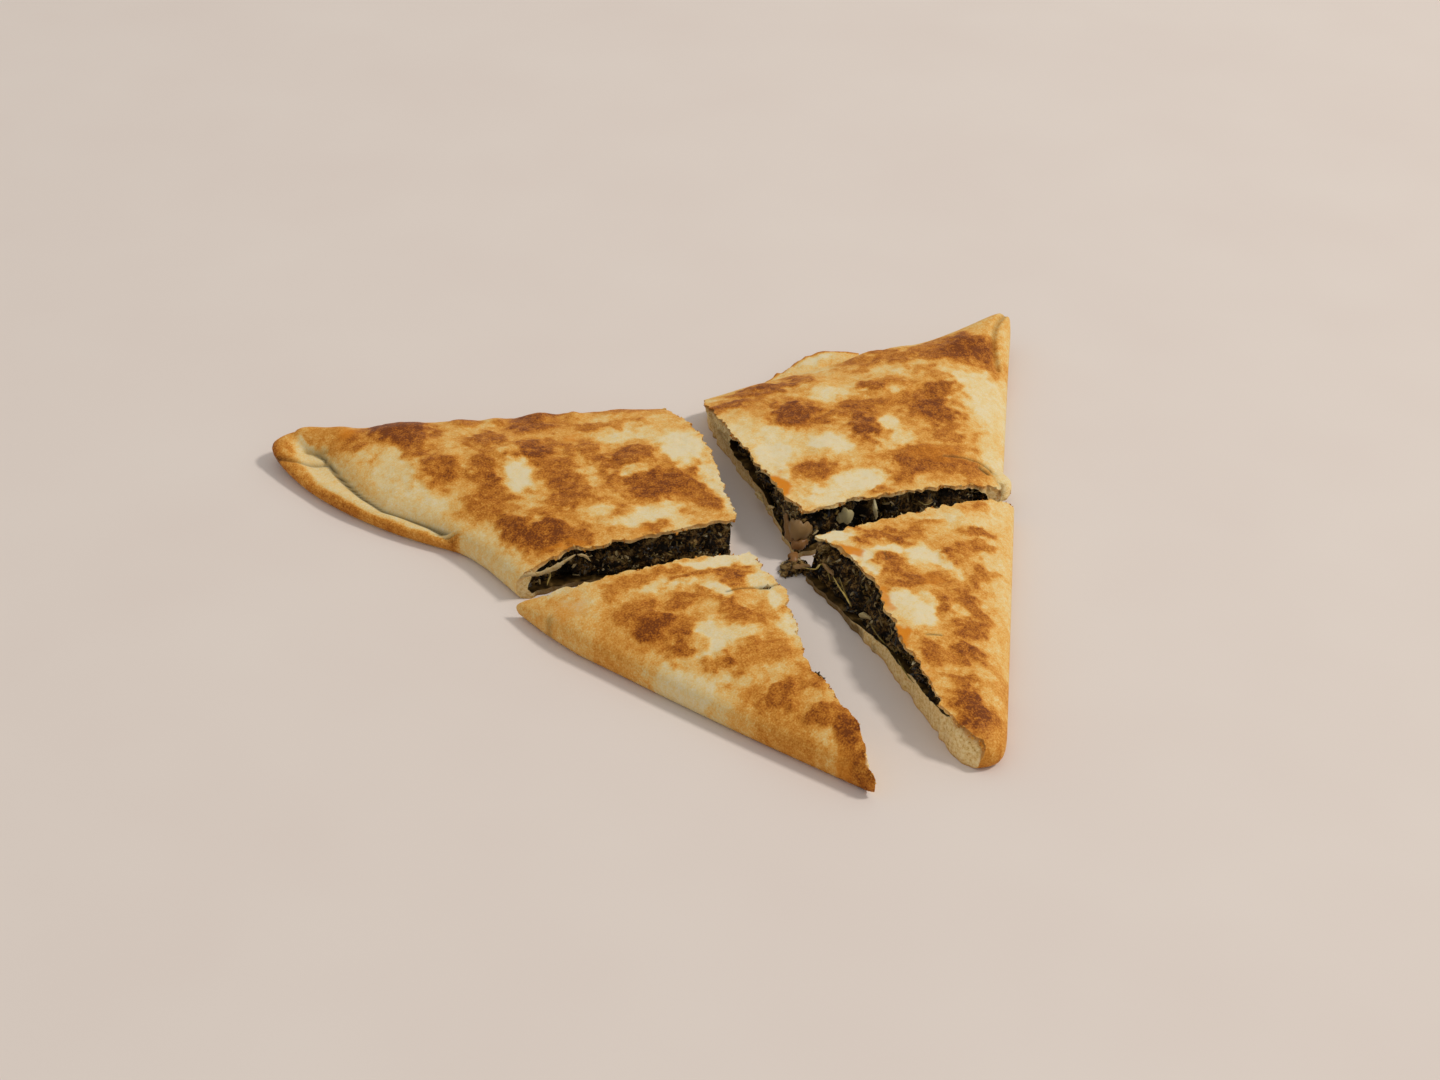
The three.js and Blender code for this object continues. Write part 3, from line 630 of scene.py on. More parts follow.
def warped(x, y, seed):
    """The same points moved about a little, so that round marks get uneven edges."""
    moved = []
    for axis, value in enumerate((x, y)):
        for size, reach in ((6, 2.2), (2.7, 1.7), (1.4, 1.0)):
            value = value + reach * noise_at(x, y, 0, size, seed + axis * 3)
        moved.append(value)
    return moved


def marks_at(marks, x, y, seed, spread=1.0):
    """0 to 1, how strongly a set of elliptical marks with uneven edges covers each point."""
    wx, wy = warped(x, y, seed)
    frayed = 1 + 0.2 * noise_at(x, y, 0, 1.7, seed + 17)
    left = 1.0
    for mx, my, half_x, half_y, strength in marks:
        away = np.hypot((wx - mx) / half_x, (wy - my) / half_y) / spread * frayed
        left = left * (1 - strength * (1 - smooth(0.62, 1.24, away)))
    return 1 - left


def creases_at(slice_, x, y):
    """How deep the creases cut in at each point, in mm, and how much shade is painted into them."""
    depth = np.zeros(np.shape(x))
    dark = np.zeros(np.shape(x))
    for path, half_width, deep, darkness in slice_["creases"]:
        away = path_distance(x, y, curve_points(path, 1.5).tolist())
        depth = np.maximum(depth, deep * np.exp(-((away / half_width) ** 2)))
        dark = np.maximum(dark, darkness * np.exp(-((away / half_width / 0.8) ** 2)))
    # the seam where the lip meets the body gets a thin line of painted shade
    if "lip" in slice_:
        nose = tip_distance(slice_, x, y)
        seam = smooth(9, 16, nose) * smooth(0, 1.5, inset_at(slice_, x, y, "lip") - inset_at(slice_, x, y))
        away = inset_at(slice_, x, y)
        depth = np.maximum(depth, 0.35 * seam * np.exp(-((away / 0.7) ** 2)))
        dark = np.maximum(dark, 0.85 * seam * np.exp(-(((away - 0.15) / 0.4) ** 2)))
    return depth, dark


def lip_height(slice_, x, y):
    """The top of the folded lip, a roll that sinks towards the crease beside the slice's body."""
    run = inset_at(slice_, x, y, "lip")
    roll = mix(WIDEST_HEIGHT, LIP_TOP, rise_at(run, 4, 2))
    return roll - 1.2 * smooth(2.5, 7, run) + 0.4 * noise_at(x, y, 0, 7, 25)


def skin_height(slice_, x, y):
    """The crust's top with its fine relief: scorched places stand a little proud of the pale ones."""
    body = inset_at(slice_, x, y)
    inset = np.maximum(body, 0)
    fine = 0.45 * marks_at(slice_["scorches"], x, y, SCORCH_SEED) - 0.3
    fine = fine + 0.22 * noise_at(x, y, 0, 5, 21) + 0.13 * noise_at(x, y, 0, 2.1, 22)
    height = crust_height(slice_, x, y) + fine * smooth(0.5, 6, inset)
    if "lip" in slice_:
        nose = tip_distance(slice_, x, y)
        blend = mix(1.6, 0.2, smooth(6, 20, nose))
        height = soft_max(height + 4 * np.minimum(body, 0), lip_height(slice_, x, y), blend)
    height = height - creases_at(slice_, x, y)[0]
    over = np.maximum(height - TALLEST + TOP_ROUNDING, 0)
    return height - over + TOP_ROUNDING * (1 - np.exp(-over / TOP_ROUNDING))


def pocket_inset(slice_, x, y):
    """Distance inside the pocket that holds the filling: it ends short of the sides and the tip."""
    from_side = inset_at(slice_, x, y, "pocket" if "pocket" in slice_ else "outline") - slice_["side"]
    from_tip = tip_distance(slice_, x, y) - slice_["filling_end"]
    near = np.exp(-from_side / POCKET_ROUNDING) + np.exp(-from_tip / POCKET_ROUNDING)
    return -POCKET_ROUNDING * np.log(near)


def spoke_ends(slice_, step):
    """Even points along the outer sides, to which the spokes from the hub run."""
    corners = np.array(slice_.get("rim", slice_["outline"]), float)
    along = np.concatenate([[0], np.cumsum(np.linalg.norm(np.diff(corners, axis=0), axis=1))])
    wanted = np.linspace(0, along[-1], int(round(along[-1] / step)) + 1)
    return np.stack([np.interp(wanted, along, column) for column in corners.T], axis=1)


def contour(hub, ends, inset, wanted):
    """For each spoke from the hub, the share of the way out at which inset last reaches a value."""
    shares = np.linspace(1, 0, SPOKE_TRIES + 1)[:, None]
    place = [hub[axis] + (ends[:, axis] - hub[axis]) * shares for axis in (0, 1)]
    first = np.argmax(inset(*place) >= wanted, axis=0)
    inner = shares[first, 0]
    outer = np.minimum(inner + 1 / SPOKE_TRIES, 1)
    for _ in range(HALVINGS):
        middle = (inner + outer) / 2
        x, y = [hub[axis] + (ends[:, axis] - hub[axis]) * middle for axis in (0, 1)]
        inside = inset(x, y) >= wanted
        inner = np.where(inside, middle, inner)
        outer = np.where(inside, outer, middle)
    return inner


def pillow(slice_, inset, band, top, base, step, rings):
    """A closed body spun out from the hub: a band of contours given as (inset, height or None for the top
    surface's own height), then even rings to the hub, a flat base and two plain walls."""
    hub = np.array(slice_["hub"], float)
    ends = spoke_ends(slice_, step)
    shares = [contour(hub, ends, inset, wanted) for wanted, _ in band]
    shares += [shares[-1] * (1 - i / rings) for i in range(1, rings)]
    columns = []
    for i, share in enumerate(shares):
        x, y = [hub[axis] + (ends[:, axis] - hub[axis]) * share for axis in (0, 1)]
        height = band[i][1] if i < len(band) else None
        z = top(x, y) if height is None else np.full(len(x), float(height))
        columns.append(np.stack([x, y, z + curl_at(slice_, x, y)], axis=1))
    grid = np.stack(columns, axis=1)
    spokes, count = grid.shape[:2]
    points = np.vstack([grid.reshape(-1, 3), [*hub, float(top(*hub))], [*hub, base]])
    hub_top, hub_base = len(points) - 2, len(points) - 1
    index = np.arange(spokes * count).reshape(spokes, count)
    faces = np.stack([index[:-1, :-1], index[:-1, 1:], index[1:, 1:], index[1:, :-1]], -1).reshape(-1, 4)
    faces = faces.tolist()
    faces += [[a, hub_top, b] for a, b in zip(index[:-1, -1].tolist(), index[1:, -1].tolist())]
    faces += [[a, b, hub_base] for a, b in zip(index[:-1, 0].tolist(), index[1:, 0].tolist())]
    faces.append([hub_base, hub_top, *index[0, ::-1].tolist()])
    faces.append([hub_base, *index[-1].tolist(), hub_top])
    return points, faces


def pocket_form(slice_, clearance):
    """The pocket inside the dough, or the filling in it, which is smaller all over by the clearance."""
    base = CRUST_BASE + clearance

    def inset(x, y):
        return pocket_inset(slice_, x, y) - clearance

    def top(x, y):
        height = crust_height(slice_, x, y) - CRUST_TOP - 0.45 * noise_at(x, y, 0, 3, 56) - clearance
        if clearance:  # the pressed filling sank away from the crust in places
            height = height - np.maximum(0.9 + 1.6 * noise_at(x, y, 0, 8, 55), 0)
        return mix(base + POCKET_RIM, height, rise_at(inset(x, y), FILLING_SHOULDER, slice_["fullness"]))

    band = ((10, base), (1, base), (0, base + POCKET_RIM), (0.3, None), (0.8, None), (1.6, None),
            (2.6, None), (4, None), (6, None))
    points, faces = pillow(slice_, inset, band, top, base, POCKET_STEP, POCKET_RINGS)
    x, y, z = points.T
    room = crust_height(slice_, x, y) - CRUST_TOP - clearance - z
    if "wedge" in slice_:  # towards the tip the base crust thickens and the filling thins out above it
        away = tip_distance(slice_, x, y) - slice_["filling_end"]
        points[:, 2] += room * mix(0.9, 0, smooth(0, slice_["wedge"], away))
    if "shelf" in slice_:  # the knife tore the base crust up into the filling
        sx, sy, half_x, half_y, share = slice_["shelf"]
        near = np.exp(-(((x - sx) / half_x) ** 4) - ((y - sy) / half_y) ** 4)
        points[:, 2] += room * share * near * (0.85 + 0.3 * noise_at(x, y, 0, 5, 57))
    return points, faces


def pits_at(slice_, x, y):
    """How deep the hollows in the filling's cut face reach in at a point, in mm."""
    depth = np.zeros(np.shape(x))
    for px, py, radius, reach in slice_["pits"]:
        depth = depth + reach * bell(x, y, px, py, radius)
    return depth


# ---- knives and flaps ----

def loft_faces(rings, count):
    """The faces between closed rings of points, and the two that close the ends."""
    index = np.arange(rings * count).reshape(rings, count)
    after = np.roll(index, -1, axis=1)
    faces = np.stack([index[:-1], after[:-1], after[1:], index[1:]], -1).reshape(-1, 4).tolist()
    return faces + [index[0, ::-1].tolist(), index[-1].tolist()]


def cut_line(cut, share, step):
    """A line along a knife cut. share goes from 0, the base crust's line, to 1, the top crust's."""
    high = curve_points(cut["crust"], step)
    dense = curve_points(cut["base"], step / 4)
    low = dense[np.linspace(0, len(dense) - 1, len(high)).round().astype(int)]
    return mix(low, high, share)


def inward_of(cut, slice_):
    """The unit direction across a cut that points into the slice."""
    (ax, ay), (bx, by) = cut["base"][0], cut["base"][-1]
    across = np.array([ay - by, bx - ax]) / math.hypot(bx - ax, by - ay)
    toward = np.array(slice_["outside"]) - (ax, ay)
    return across * math.copysign(1, across @ toward)


def knife_heights(low, high, step):
    """The heights of a knife's outlines: close together in the dough, and one far below and above it."""
    return np.concatenate([KNIFE_SPAN[:1], np.arange(low, high, step), KNIFE_SPAN[1:]])


def knife(slice_, heights, shares, tuck, step, stray):
    """The body that two knife cuts leave of a slice, lofted through outlines at the given heights. stray
    says how far a point of the cut at (x, y, z) leaves the smooth line, in mm into the slice."""
    rings = []
    for z, share in zip(heights, shares):
        lines = []
        for cut in slice_["cuts"]:
            line = cut_line(cut, share, step)
            inward = inward_of(cut, slice_)
            depth = tuck + stray(line[:, 0], line[:, 1], z)
            ends = np.linspace(0, 1, len(line))
            depth = mix(tuck, depth, smooth(0, 0.02, ends) * smooth(0, 0.02, 1 - ends))
            line = line + inward * depth[:, None]
            ahead = line[-1] + (line[0] - line[-1]) * (1 + CUT_OVERRUN / np.linalg.norm(line[0] - line[-1]))
            lines.append((np.vstack([ahead, line]), inward))
        corner = lines[0][0][-1] + lines[1][1] * tuck
        outline = np.vstack([lines[0][0][:-1], corner, lines[1][0][-2::-1], slice_["outside"]])
        rings.append(np.column_stack([outline, np.full(len(outline), z)]))
    return np.vstack(rings), loft_faces(len(rings), len(rings[0]))


def flap(shape, step=1.0, sides=24):
    """A thin flap of dough between two edges, with rounded rims."""
    near = curve_points(shape["inner"], step)
    far = curve_points(shape["rim"], step / 4)
    far = far[np.linspace(0, len(far) - 1, len(near)).round().astype(int)]
    count = len(near)
    full = np.sin(np.pi * (np.arange(count) + 0.3) / (count - 0.4)) ** 0.6
    rings = []
    for k in range(sides):
        angle = 2 * np.pi * k / sides
        across = (1 - math.cos(angle)) / 2
        up = math.copysign(abs(math.sin(angle)) ** 0.6, math.sin(angle)) * shape["thick"] * full / 2
        place = mix(near, far, across)
        lump = 0.45 * noise_at(*place.T, 2.2, 81) + 0.35 * noise_at(*place.T, 4.5, 82)
        place[:, 1] = place[:, 1] + 1.4 * lump * across
        place[:, 2] = np.maximum(place[:, 2] + up + lump * full, 0)
        rings.append(place)
    return np.stack(rings, axis=1).reshape(-1, 3), loft_faces(count, sides)


# ---- meshes ----

def linked(name, data):
    """A new object with the given data, in the scene."""
    obj = bpy.data.objects.new(name, data)
    bpy.context.scene.collection.objects.link(obj)
    return obj


def plain_mesh(name, points, faces):
    mesh = bpy.data.meshes.new(name)
    mesh.from_pydata(points, [], faces)
    return mesh


def solid(name, points, faces, slot=0):
    """An object with a closed mesh whose faces point outwards, written in metres and about the footprint."""
    places = (np.asarray(points, float) - [*FOOTPRINT_MIDDLE, 0]) * MM
    mesh = plain_mesh(name, places.tolist(), faces)
    for _ in (CRUST, CRUMB, SOAKED):
        mesh.materials.append(None)
    mesh.polygons.foreach_set("material_index", [slot] * len(mesh.polygons))
    work = bmesh.new()
    work.from_mesh(mesh)
    bmesh.ops.recalc_face_normals(work, faces=work.faces)
    work.to_mesh(mesh)
    work.free()
    return linked(name, mesh)


def carved(name, body, steps):
    """A plain mesh object: the body after each (operation, tool) in turn. The body and tools are used up."""
    for operation, tool in steps:
        modifier = body.modifiers.new(operation.lower(), "BOOLEAN")
        modifier.operation = operation
        modifier.solver = "MANIFOLD"
        modifier.material_mode = "INDEX"
        modifier.object = tool
    evaluated = body.evaluated_get(bpy.context.evaluated_depsgraph_get())
    mesh = bpy.data.meshes.new_from_object(evaluated)
    for obj in (body, *[tool for _, tool in steps]):
        bpy.data.objects.remove(obj)
    if not mesh.polygons:
        raise RuntimeError(f"{name} came out empty")
    mesh.name = name
    return linked(name, mesh)


def places_of(mesh):
    """The vertices of a mesh in millimetres, in the slices' own frame."""
    flat = np.empty(len(mesh.vertices) * 3)
    mesh.vertices.foreach_get("co", flat)
    return flat.reshape(-1, 3) / MM + [*FOOTPRINT_MIDDLE, 0]


def store(mesh, name, values):
    """Keeps one value for each vertex in an attribute of the mesh."""
    layer = mesh.attributes.new(name, "FLOAT", "POINT")
    layer.data.foreach_set("value", np.asarray(values, float))


def finish_shading(mesh, angle):
    """Shades the mesh smooth, but for the edges sharper than the angle."""
    mesh.polygons.foreach_set("use_smooth", [True] * len(mesh.polygons))
    mesh.set_sharp_from_angle(angle=math.radians(angle))


def wear(mesh, materials):
    """Fills the mesh's material slots, which keep their faces, and drops the slots left over."""
    for slot, material in enumerate(materials):
        mesh.materials[slot] = material
    while len(mesh.materials) > len(materials):
        mesh.materials.pop()


# ---- chopped bits ----

def leaf_bit(rng, length, width):
    """A thin wavy bit of leaf with an uneven outline, in mm: both faces are the same fan of triangles."""
    count = LEAF_CORNERS
    turns = np.arange(count) / count * 2 * np.pi
    reach = rng.uniform(0.5, 1.0, count)
    rim = np.column_stack([np.cos(turns) * reach * length / 2, np.sin(turns) * reach * width / 2,
                           rng.normal(0, 0.17 * width, count)])
    sheet = np.vstack([rim, [0, 0, rng.uniform(-0.2, 0.35) * width]])
    above = [0, 0, LEAF_THICK / 2]
    lower = count + 1
    faces = []
    for i in range(count):
        j = (i + 1) % count
        faces += [[i, j, count], [lower + j, lower + i, lower + count], [lower + i, lower + j, j, i]]
    return np.vstack([sheet + above, sheet - above]), faces


def tube(path, radii, flat=1.0, sides=6):
    """A closed tube along a path of points, in mm; flat is how thick it is for its width."""
    path = np.array(path, float)
    along = np.gradient(path, axis=0)
    along = along / np.linalg.norm(along, axis=1)[:, None]
    across = np.cross(along, (0.3, 0.2, 1))
    across = across / np.linalg.norm(across, axis=1)[:, None]
    up = np.cross(across, along)
    turns = np.arange(sides) / sides * 2 * np.pi
    radii = np.asarray(radii, float)[:, None, None]
    rings = path[:, None] + radii * (np.cos(turns)[None, :, None] * across[:, None]
                                     + flat * np.sin(turns)[None, :, None] * up[:, None])
    return rings.reshape(-1, 3), loft_faces(len(path), sides)


def fibre_bit(rng, length, width):
    """A bent stem fibre, in mm."""
    bend = rng.uniform(-0.5, 0.5, (2, 2)) * length * 0.35
    share = np.linspace(-0.5, 0.5, 6)
    path = np.column_stack([share * length, bend[0, 0] * share**2 * 4 + bend[1, 0] * share,
                            bend[0, 1] * share**2 * 4 + bend[1, 1] * share])
    return tube(path, width / 2 * np.array([0.4, 0.9, 1, 1, 0.9, 0.4]), 0.6, 5)


def onion_bit(rng, length, width):
    """A soft scrap of onion, in mm: thicker than a leaf, with a rounded rim."""
    points, faces = leaf_bit(rng, length, width)
    half = len(points) // 2
    points[:, 2] = 0.6 * points[:, 2] + np.repeat([0.14, -0.14], half) * width
    points[half - 1, 2] += 0.12 * width
    points[-1, 2] -= 0.12 * width
    return points, faces


def strewing_tree():
    """Geometry nodes that strew bits over a mesh, turned every way, each with a tone of its own."""
    tree = bpy.data.node_groups.new("Strewn bits", "GeometryNodeTree")
    for name, kind in (("Geometry", "NodeSocketGeometry"), ("Bits", "NodeSocketCollection"),
                       ("Crowd", "NodeSocketFloat"), ("Least Size", "NodeSocketFloat"),
                       ("Most Size", "NodeSocketFloat"), ("Tilt", "NodeSocketFloat"),
                       ("Seed", "NodeSocketInt"), ("Material", "NodeSocketMaterial")):
        tree.interface.new_socket(name, in_out="INPUT", socket_type=kind)
    tree.interface.new_socket("Geometry", in_out="OUTPUT", socket_type="NodeSocketGeometry")
    given = add(tree, "NodeGroupInput").outputs
    strewn = add(tree, "GeometryNodeDistributePointsOnFaces", {
        "Mesh": given["Geometry"], "Density": given["Crowd"], "Seed": given["Seed"]}).outputs
    bits = add(tree, "GeometryNodeCollectionInfo", {
        "Collection": given["Bits"], "Separate Children": True, "Reset Children": True}).outputs[0]
    least = add(tree, "ShaderNodeMath", {0: given["Tilt"], 1: -1.0}, operation="MULTIPLY").outputs[0]
    low = add(tree, "ShaderNodeCombineXYZ", {"X": least, "Y": least, "Z": 0.0}).outputs[0]
    high = add(tree, "ShaderNodeCombineXYZ", {"X": given["Tilt"], "Y": given["Tilt"],
                                              "Z": 2 * math.pi}).outputs[0]
    lean = add(tree, "FunctionNodeRandomValue", {0: low, 1: high, "Seed": given["Seed"]},
               data_type="FLOAT_VECTOR").outputs[0]
    turn = add(tree, "FunctionNodeEulerToRotation", {0: lean}).outputs[0]
    turned = add(tree, "FunctionNodeRotateRotation", {"Rotation": strewn["Rotation"], "Rotate By": turn},
                 rotation_space="LOCAL").outputs[0]
    size = add(tree, "FunctionNodeRandomValue", {2: given["Least Size"], 3: given["Most Size"], "Seed": 5},
               data_type="FLOAT").outputs[1]
    placed = add(tree, "GeometryNodeInstanceOnPoints", {
        "Points": strewn["Points"], "Instance": bits, "Pick Instance": True, "Rotation": turned,
        "Scale": size}).outputs[0]
    # patches of darker and lighter bits: the dark patches partly paint the shade of hollows in the filling
    patch = add(tree, "ShaderNodeTexNoise", {"Scale": 1 / (4 * MM), "Detail": 2.0}).outputs["Fac"]
    patchy = scaled(tree, patch, 2.4, -0.96)
    chance = add(tree, "FunctionNodeRandomValue", {2: 0.0, 3: 1.0, "Seed": 9}, data_type="FLOAT").outputs[1]
    tone = add(tree, "ShaderNodeMath", {0: chance, 1: 0.65, 2: patchy}, operation="MULTIPLY_ADD",
               use_clamp=True).outputs[0]  # so that bits of one tone lie together in patches
    toned = add(tree, "GeometryNodeStoreNamedAttribute", {"Geometry": placed, "Name": "tone", "Value": tone},
                data_type="FLOAT", domain="INSTANCE").outputs[0]
    real = add(tree, "GeometryNodeRealizeInstances", {"Geometry": toned}).outputs[0]
    dressed = add(tree, "GeometryNodeSetMaterial", {
        "Geometry": real, "Material": given["Material"]}).outputs[0]
    add(tree, "NodeGroupOutput", {"Geometry": dressed})
    return tree


def strew(name, tree, host, shapes, values):
    """A plain mesh object of the bits that the tree strews over the host."""
    bits = bpy.data.collections.new(name)
    for i, (points, faces) in enumerate(shapes):
        mesh = plain_mesh(f"{name}_{i}", (points * MM).tolist(), faces)
        bits.objects.link(bpy.data.objects.new(f"{name}_{i}", mesh))
    modifier = host.modifiers.new(name, "NODES")
    modifier.node_group = tree
    values = {**values, "Bits": bits}
    for socket in tree.interface.items_tree:
        if socket.in_out == "INPUT" and socket.name in values:
            modifier[socket.identifier] = values[socket.name]
    evaluated = host.evaluated_get(bpy.context.evaluated_depsgraph_get())
    mesh = bpy.data.meshes.new_from_object(evaluated)
    host.modifiers.remove(modifier)
    for obj in list(bits.objects):
        bpy.data.objects.remove(obj)
    bpy.data.collections.remove(bits)
    if not mesh.polygons:
        raise RuntimeError(f"{name} came out empty")
    return linked(name, mesh)


def heap(x, y, half_x, half_y, height):
    """A lumpy closed mound of chopped filling, in mm; a tall thin one clings to the cut beside it."""
    rings, count = HEAP_RINGS, HEAP_SIDES
    turns = np.arange(count) / count * 2 * np.pi
    tall = height > CLINGING
    layers = []
    for i in range(1, rings + 1):
        slope = math.pi * (i / (rings + 1)) * (1 if tall else 0.5)
        out = math.sin(slope)
        px = x + half_x * out * np.cos(turns)
        py = y + half_y * out * np.sin(turns)
        top = height - CLINGING_DEPTH * (1 - math.cos(slope)) / 2 if tall else height * math.cos(slope)
        pz = np.full(count, top)
        lump = 1 + 0.25 * noise_at(px, py, pz, 1.6, 71)
        px, py = x + (px - x) * lump, y + (py - y) * lump
        layers.append(np.column_stack([px, py, np.maximum(pz, 0)]))
    bottom = height - CLINGING_DEPTH if tall else 0
    points = np.vstack([[(x, y, height)], *layers, [(x, y, bottom)]])
    index = 1 + np.arange(rings * count).reshape(rings, count)
    after = np.roll(index, -1, axis=1)
    faces = np.stack([index[:-1], index[1:], after[1:], after[:-1]], -1).reshape(-1, 4).tolist()
    faces += [[0, a, b] for a, b in zip(index[0].tolist(), after[0].tolist())]
    faces += [[len(points) - 1, b, a] for a, b in zip(index[-1].tolist(), after[-1].tolist())]
    return points, faces


def lift_off_floor(mesh):
    """Lays what would reach below the floor flat on it."""
    flat = np.empty(len(mesh.vertices) * 3)
    mesh.vertices.foreach_get("co", flat)
    flat[2::3] = np.maximum(flat[2::3], FLOOR_CLEARANCE * MM)
    mesh.vertices.foreach_set("co", flat)
    mesh.update()


def joined(shapes):
    """The points and faces of several bodies as one."""
    points, faces, base = [], [], 0
    for some_points, some_faces in shapes:
        points.append(some_points)
        faces += [[base + i for i in face] for face in some_faces]
        base += len(some_points)
    return np.vstack(points), faces


def lumpy(path, radius, flat, rng, sides=10):
    """A soft bit along a path, thick in the middle, with uneven sides, in mm."""
    line = curve_points(path, 0.6)
    share = np.linspace(0, 1, len(line))
    girth = np.maximum(np.sin(np.pi * share) ** 0.5, 0.12) * rng.uniform(0.65, 1.3, len(line))
    points, faces = tube(line, radius * girth, flat, sides)
    rough = 0.3 * radius * noise_at(*points.T, 1.6, 91) + rng.normal(0, 0.03 * radius, len(points))
    return points + rough[:, None] * (1, 1, 0.8), faces


def picked_faces(name, parts):
    """One loose mesh, for bits to be strewn over: of each given mesh, the faces that pass its test."""
    points, faces = [], []
    for mesh, passes in parts:
        base = len(points)
        points += [tuple(v.co) for v in mesh.vertices]
        faces += [[base + i for i in face.vertices] for face in mesh.polygons if passes(face)]
    return linked(name, plain_mesh(name, points, faces))


def crust_edges():
    """A loose mesh of the top crust's cut edges."""
    parts = []
    for name, slice_ in SLICES.items():
        mesh = bpy.data.objects[f"crust_{name}"].data
        x, y, z = places_of(mesh).T
        near = crust_height(slice_, x, y) - z < CRUST_TOP
        parts.append((mesh, lambda face, near=near: face.material_index == CRUMB
                      and all(near[i] for i in face.vertices)))
    return picked_faces("crust_edges", parts)


def cut_faces():
    """A loose mesh of all the cut faces of the filling, but for its pits, and of what spilled."""
    parts = []
    for name in SLICES:
        mesh = bpy.data.objects[f"spinach_{name}"].data
        showing = mesh.attributes["showing"].data
        painted_pit_shade = mesh.attributes["painted_pit_shade"].data
        parts.append((mesh, lambda face, showing=showing, painted_pit_shade=painted_pit_shade: showing[face.index].value
                      and painted_pit_shade[face.vertices[0]].value < DEEP_PIT))
    parts.append((bpy.data.objects["spilled_filling"].data, lambda face: True))
    return picked_faces("cut_faces", parts)


# ---- materials ----

def add(tree, kind, inputs=None, **settings):
    """Adds a node, sets its properties, and fills its inputs with values or with other nodes' outputs."""
    node = tree.nodes.new(kind)
    for key, value in settings.items():
        setattr(node, key, value)
    for key, value in (inputs or {}).items():
        socket = node.inputs[key]
        if isinstance(value, bpy.types.NodeSocket):
            tree.links.new(value, socket)
        else:
            socket.default_value = value
    return node


def new_material(name):
    material = bpy.data.materials.new(name)
    material.use_nodes = True
    material.node_tree.nodes.clear()
    return material, material.node_tree


def ramp(tree, factor, stops):
    """A colour ramp through (place, hex colour) stops."""
    node = add(tree, "ShaderNodeValToRGB", {"Fac": factor})
    elements = node.color_ramp.elements
    while len(elements) < len(stops):
        elements.new(0.5)
    for element, (place, code) in zip(elements, stops):
        element.position = place
        element.color = linear(code)
    return node.outputs["Color"]


def noise(tree, size, detail, roughness=0.5):
    """Noise in the object's own frame, whose largest spots are about size metres wide."""
    place = add(tree, "ShaderNodeTexCoord").outputs["Object"]
    return add(tree, "ShaderNodeTexNoise", {"Vector": place, "Scale": 1 / size, "Detail": detail,
                                            "Roughness": roughness}).outputs["Fac"]


def stored(tree, name):
    """What the mesh's own attribute says."""
    return add(tree, "ShaderNodeAttribute", attribute_name=name).outputs["Fac"]


def scaled(tree, value, factor, shift):
    return add(tree, "ShaderNodeMath", {0: value, 1: factor, 2: shift}, operation="MULTIPLY_ADD").outputs[0]


def summed(tree, a, b):
    return add(tree, "ShaderNodeMath", {0: a, 1: b}, operation="ADD").outputs[0]


def blended(tree, under, over, share):
    """One colour laid over another."""
    return add(tree, "ShaderNodeMix", {6: under, 7: over, "Factor": share}, data_type="RGBA").outputs[2]


def bumped(tree, height, strength, depth):
    """The surface's direction where fine hills and hollows, depth metres deep, tilt it."""
    bump = add(tree, "ShaderNodeBump", {"Height": height, "Strength": strength, "Distance": depth})
    return bump.outputs["Normal"]


def surface(tree, looks):
    shader = add(tree, "ShaderNodeBsdfPrincipled", looks)
    add(tree, "ShaderNodeOutputMaterial", {"Surface": shader.outputs["BSDF"]})


def crust_material(settings):
    """Pan-baked wheat dough: matt and floury, cream where it puffed away from the pan and brown where it
    touched it, so the eye sees soft dark islands with grainy edges on a pale, faintly dimpled skin."""
    material, tree = new_material("Pan-baked wheat crust")
    bake = stored(tree, "bake")
    grain = scaled(tree, noise(tree, settings.grain, 3.0, 0.6), 1.2, -0.6)
    mottle = scaled(tree, noise(tree, 2.4 * MM, 4.0, 0.62), 1.0, -0.5)
    reach = scaled(tree, bake, 0.75, 0.3)  # the browner the crust, the more uneven
    uneven = scaled(tree, summed(tree, grain, mottle), reach, bake)
    colour = ramp(tree, uneven, (
        (0.0, "ddcea8"), (0.13, "ddc48b"), (0.26, "ddb267"), (0.39, "d79b48"), (0.51, "ca8834"),
        (0.63, "bb7626"), (0.75, "a7631a"), (0.87, "925010"), (1.0, "70380c")))
    oiled = blended(tree, colour, (*settings.stain, 1.0), stored(tree, "oil"))
    # painted shade laid into the creases, the cracks and the lip's seam
    crease_shaded = blended(tree, oiled, linear("43391a"), stored(tree, "crease"))
    shine = add(tree, "ShaderNodeMapRange", {"Value": bake, "From Min": 0.3, "From Max": 0.9, "To Min": 0.7,
                                             "To Max": 0.5}).outputs["Result"]
    surface(tree, {
        "Base Color": crease_shaded, "Roughness": shine, "IOR": 1.45, "Specular IOR Level": 0.14,
        "Normal": bumped(tree, noise(tree, 1.3 * MM, 3.0, 0.65), 0.55, 0.3 * MM),
        "Subsurface Weight": 0.1, "Subsurface Scale": 1 * MM, "Subsurface Radius": (1.0, 0.6, 0.3)})
    return material


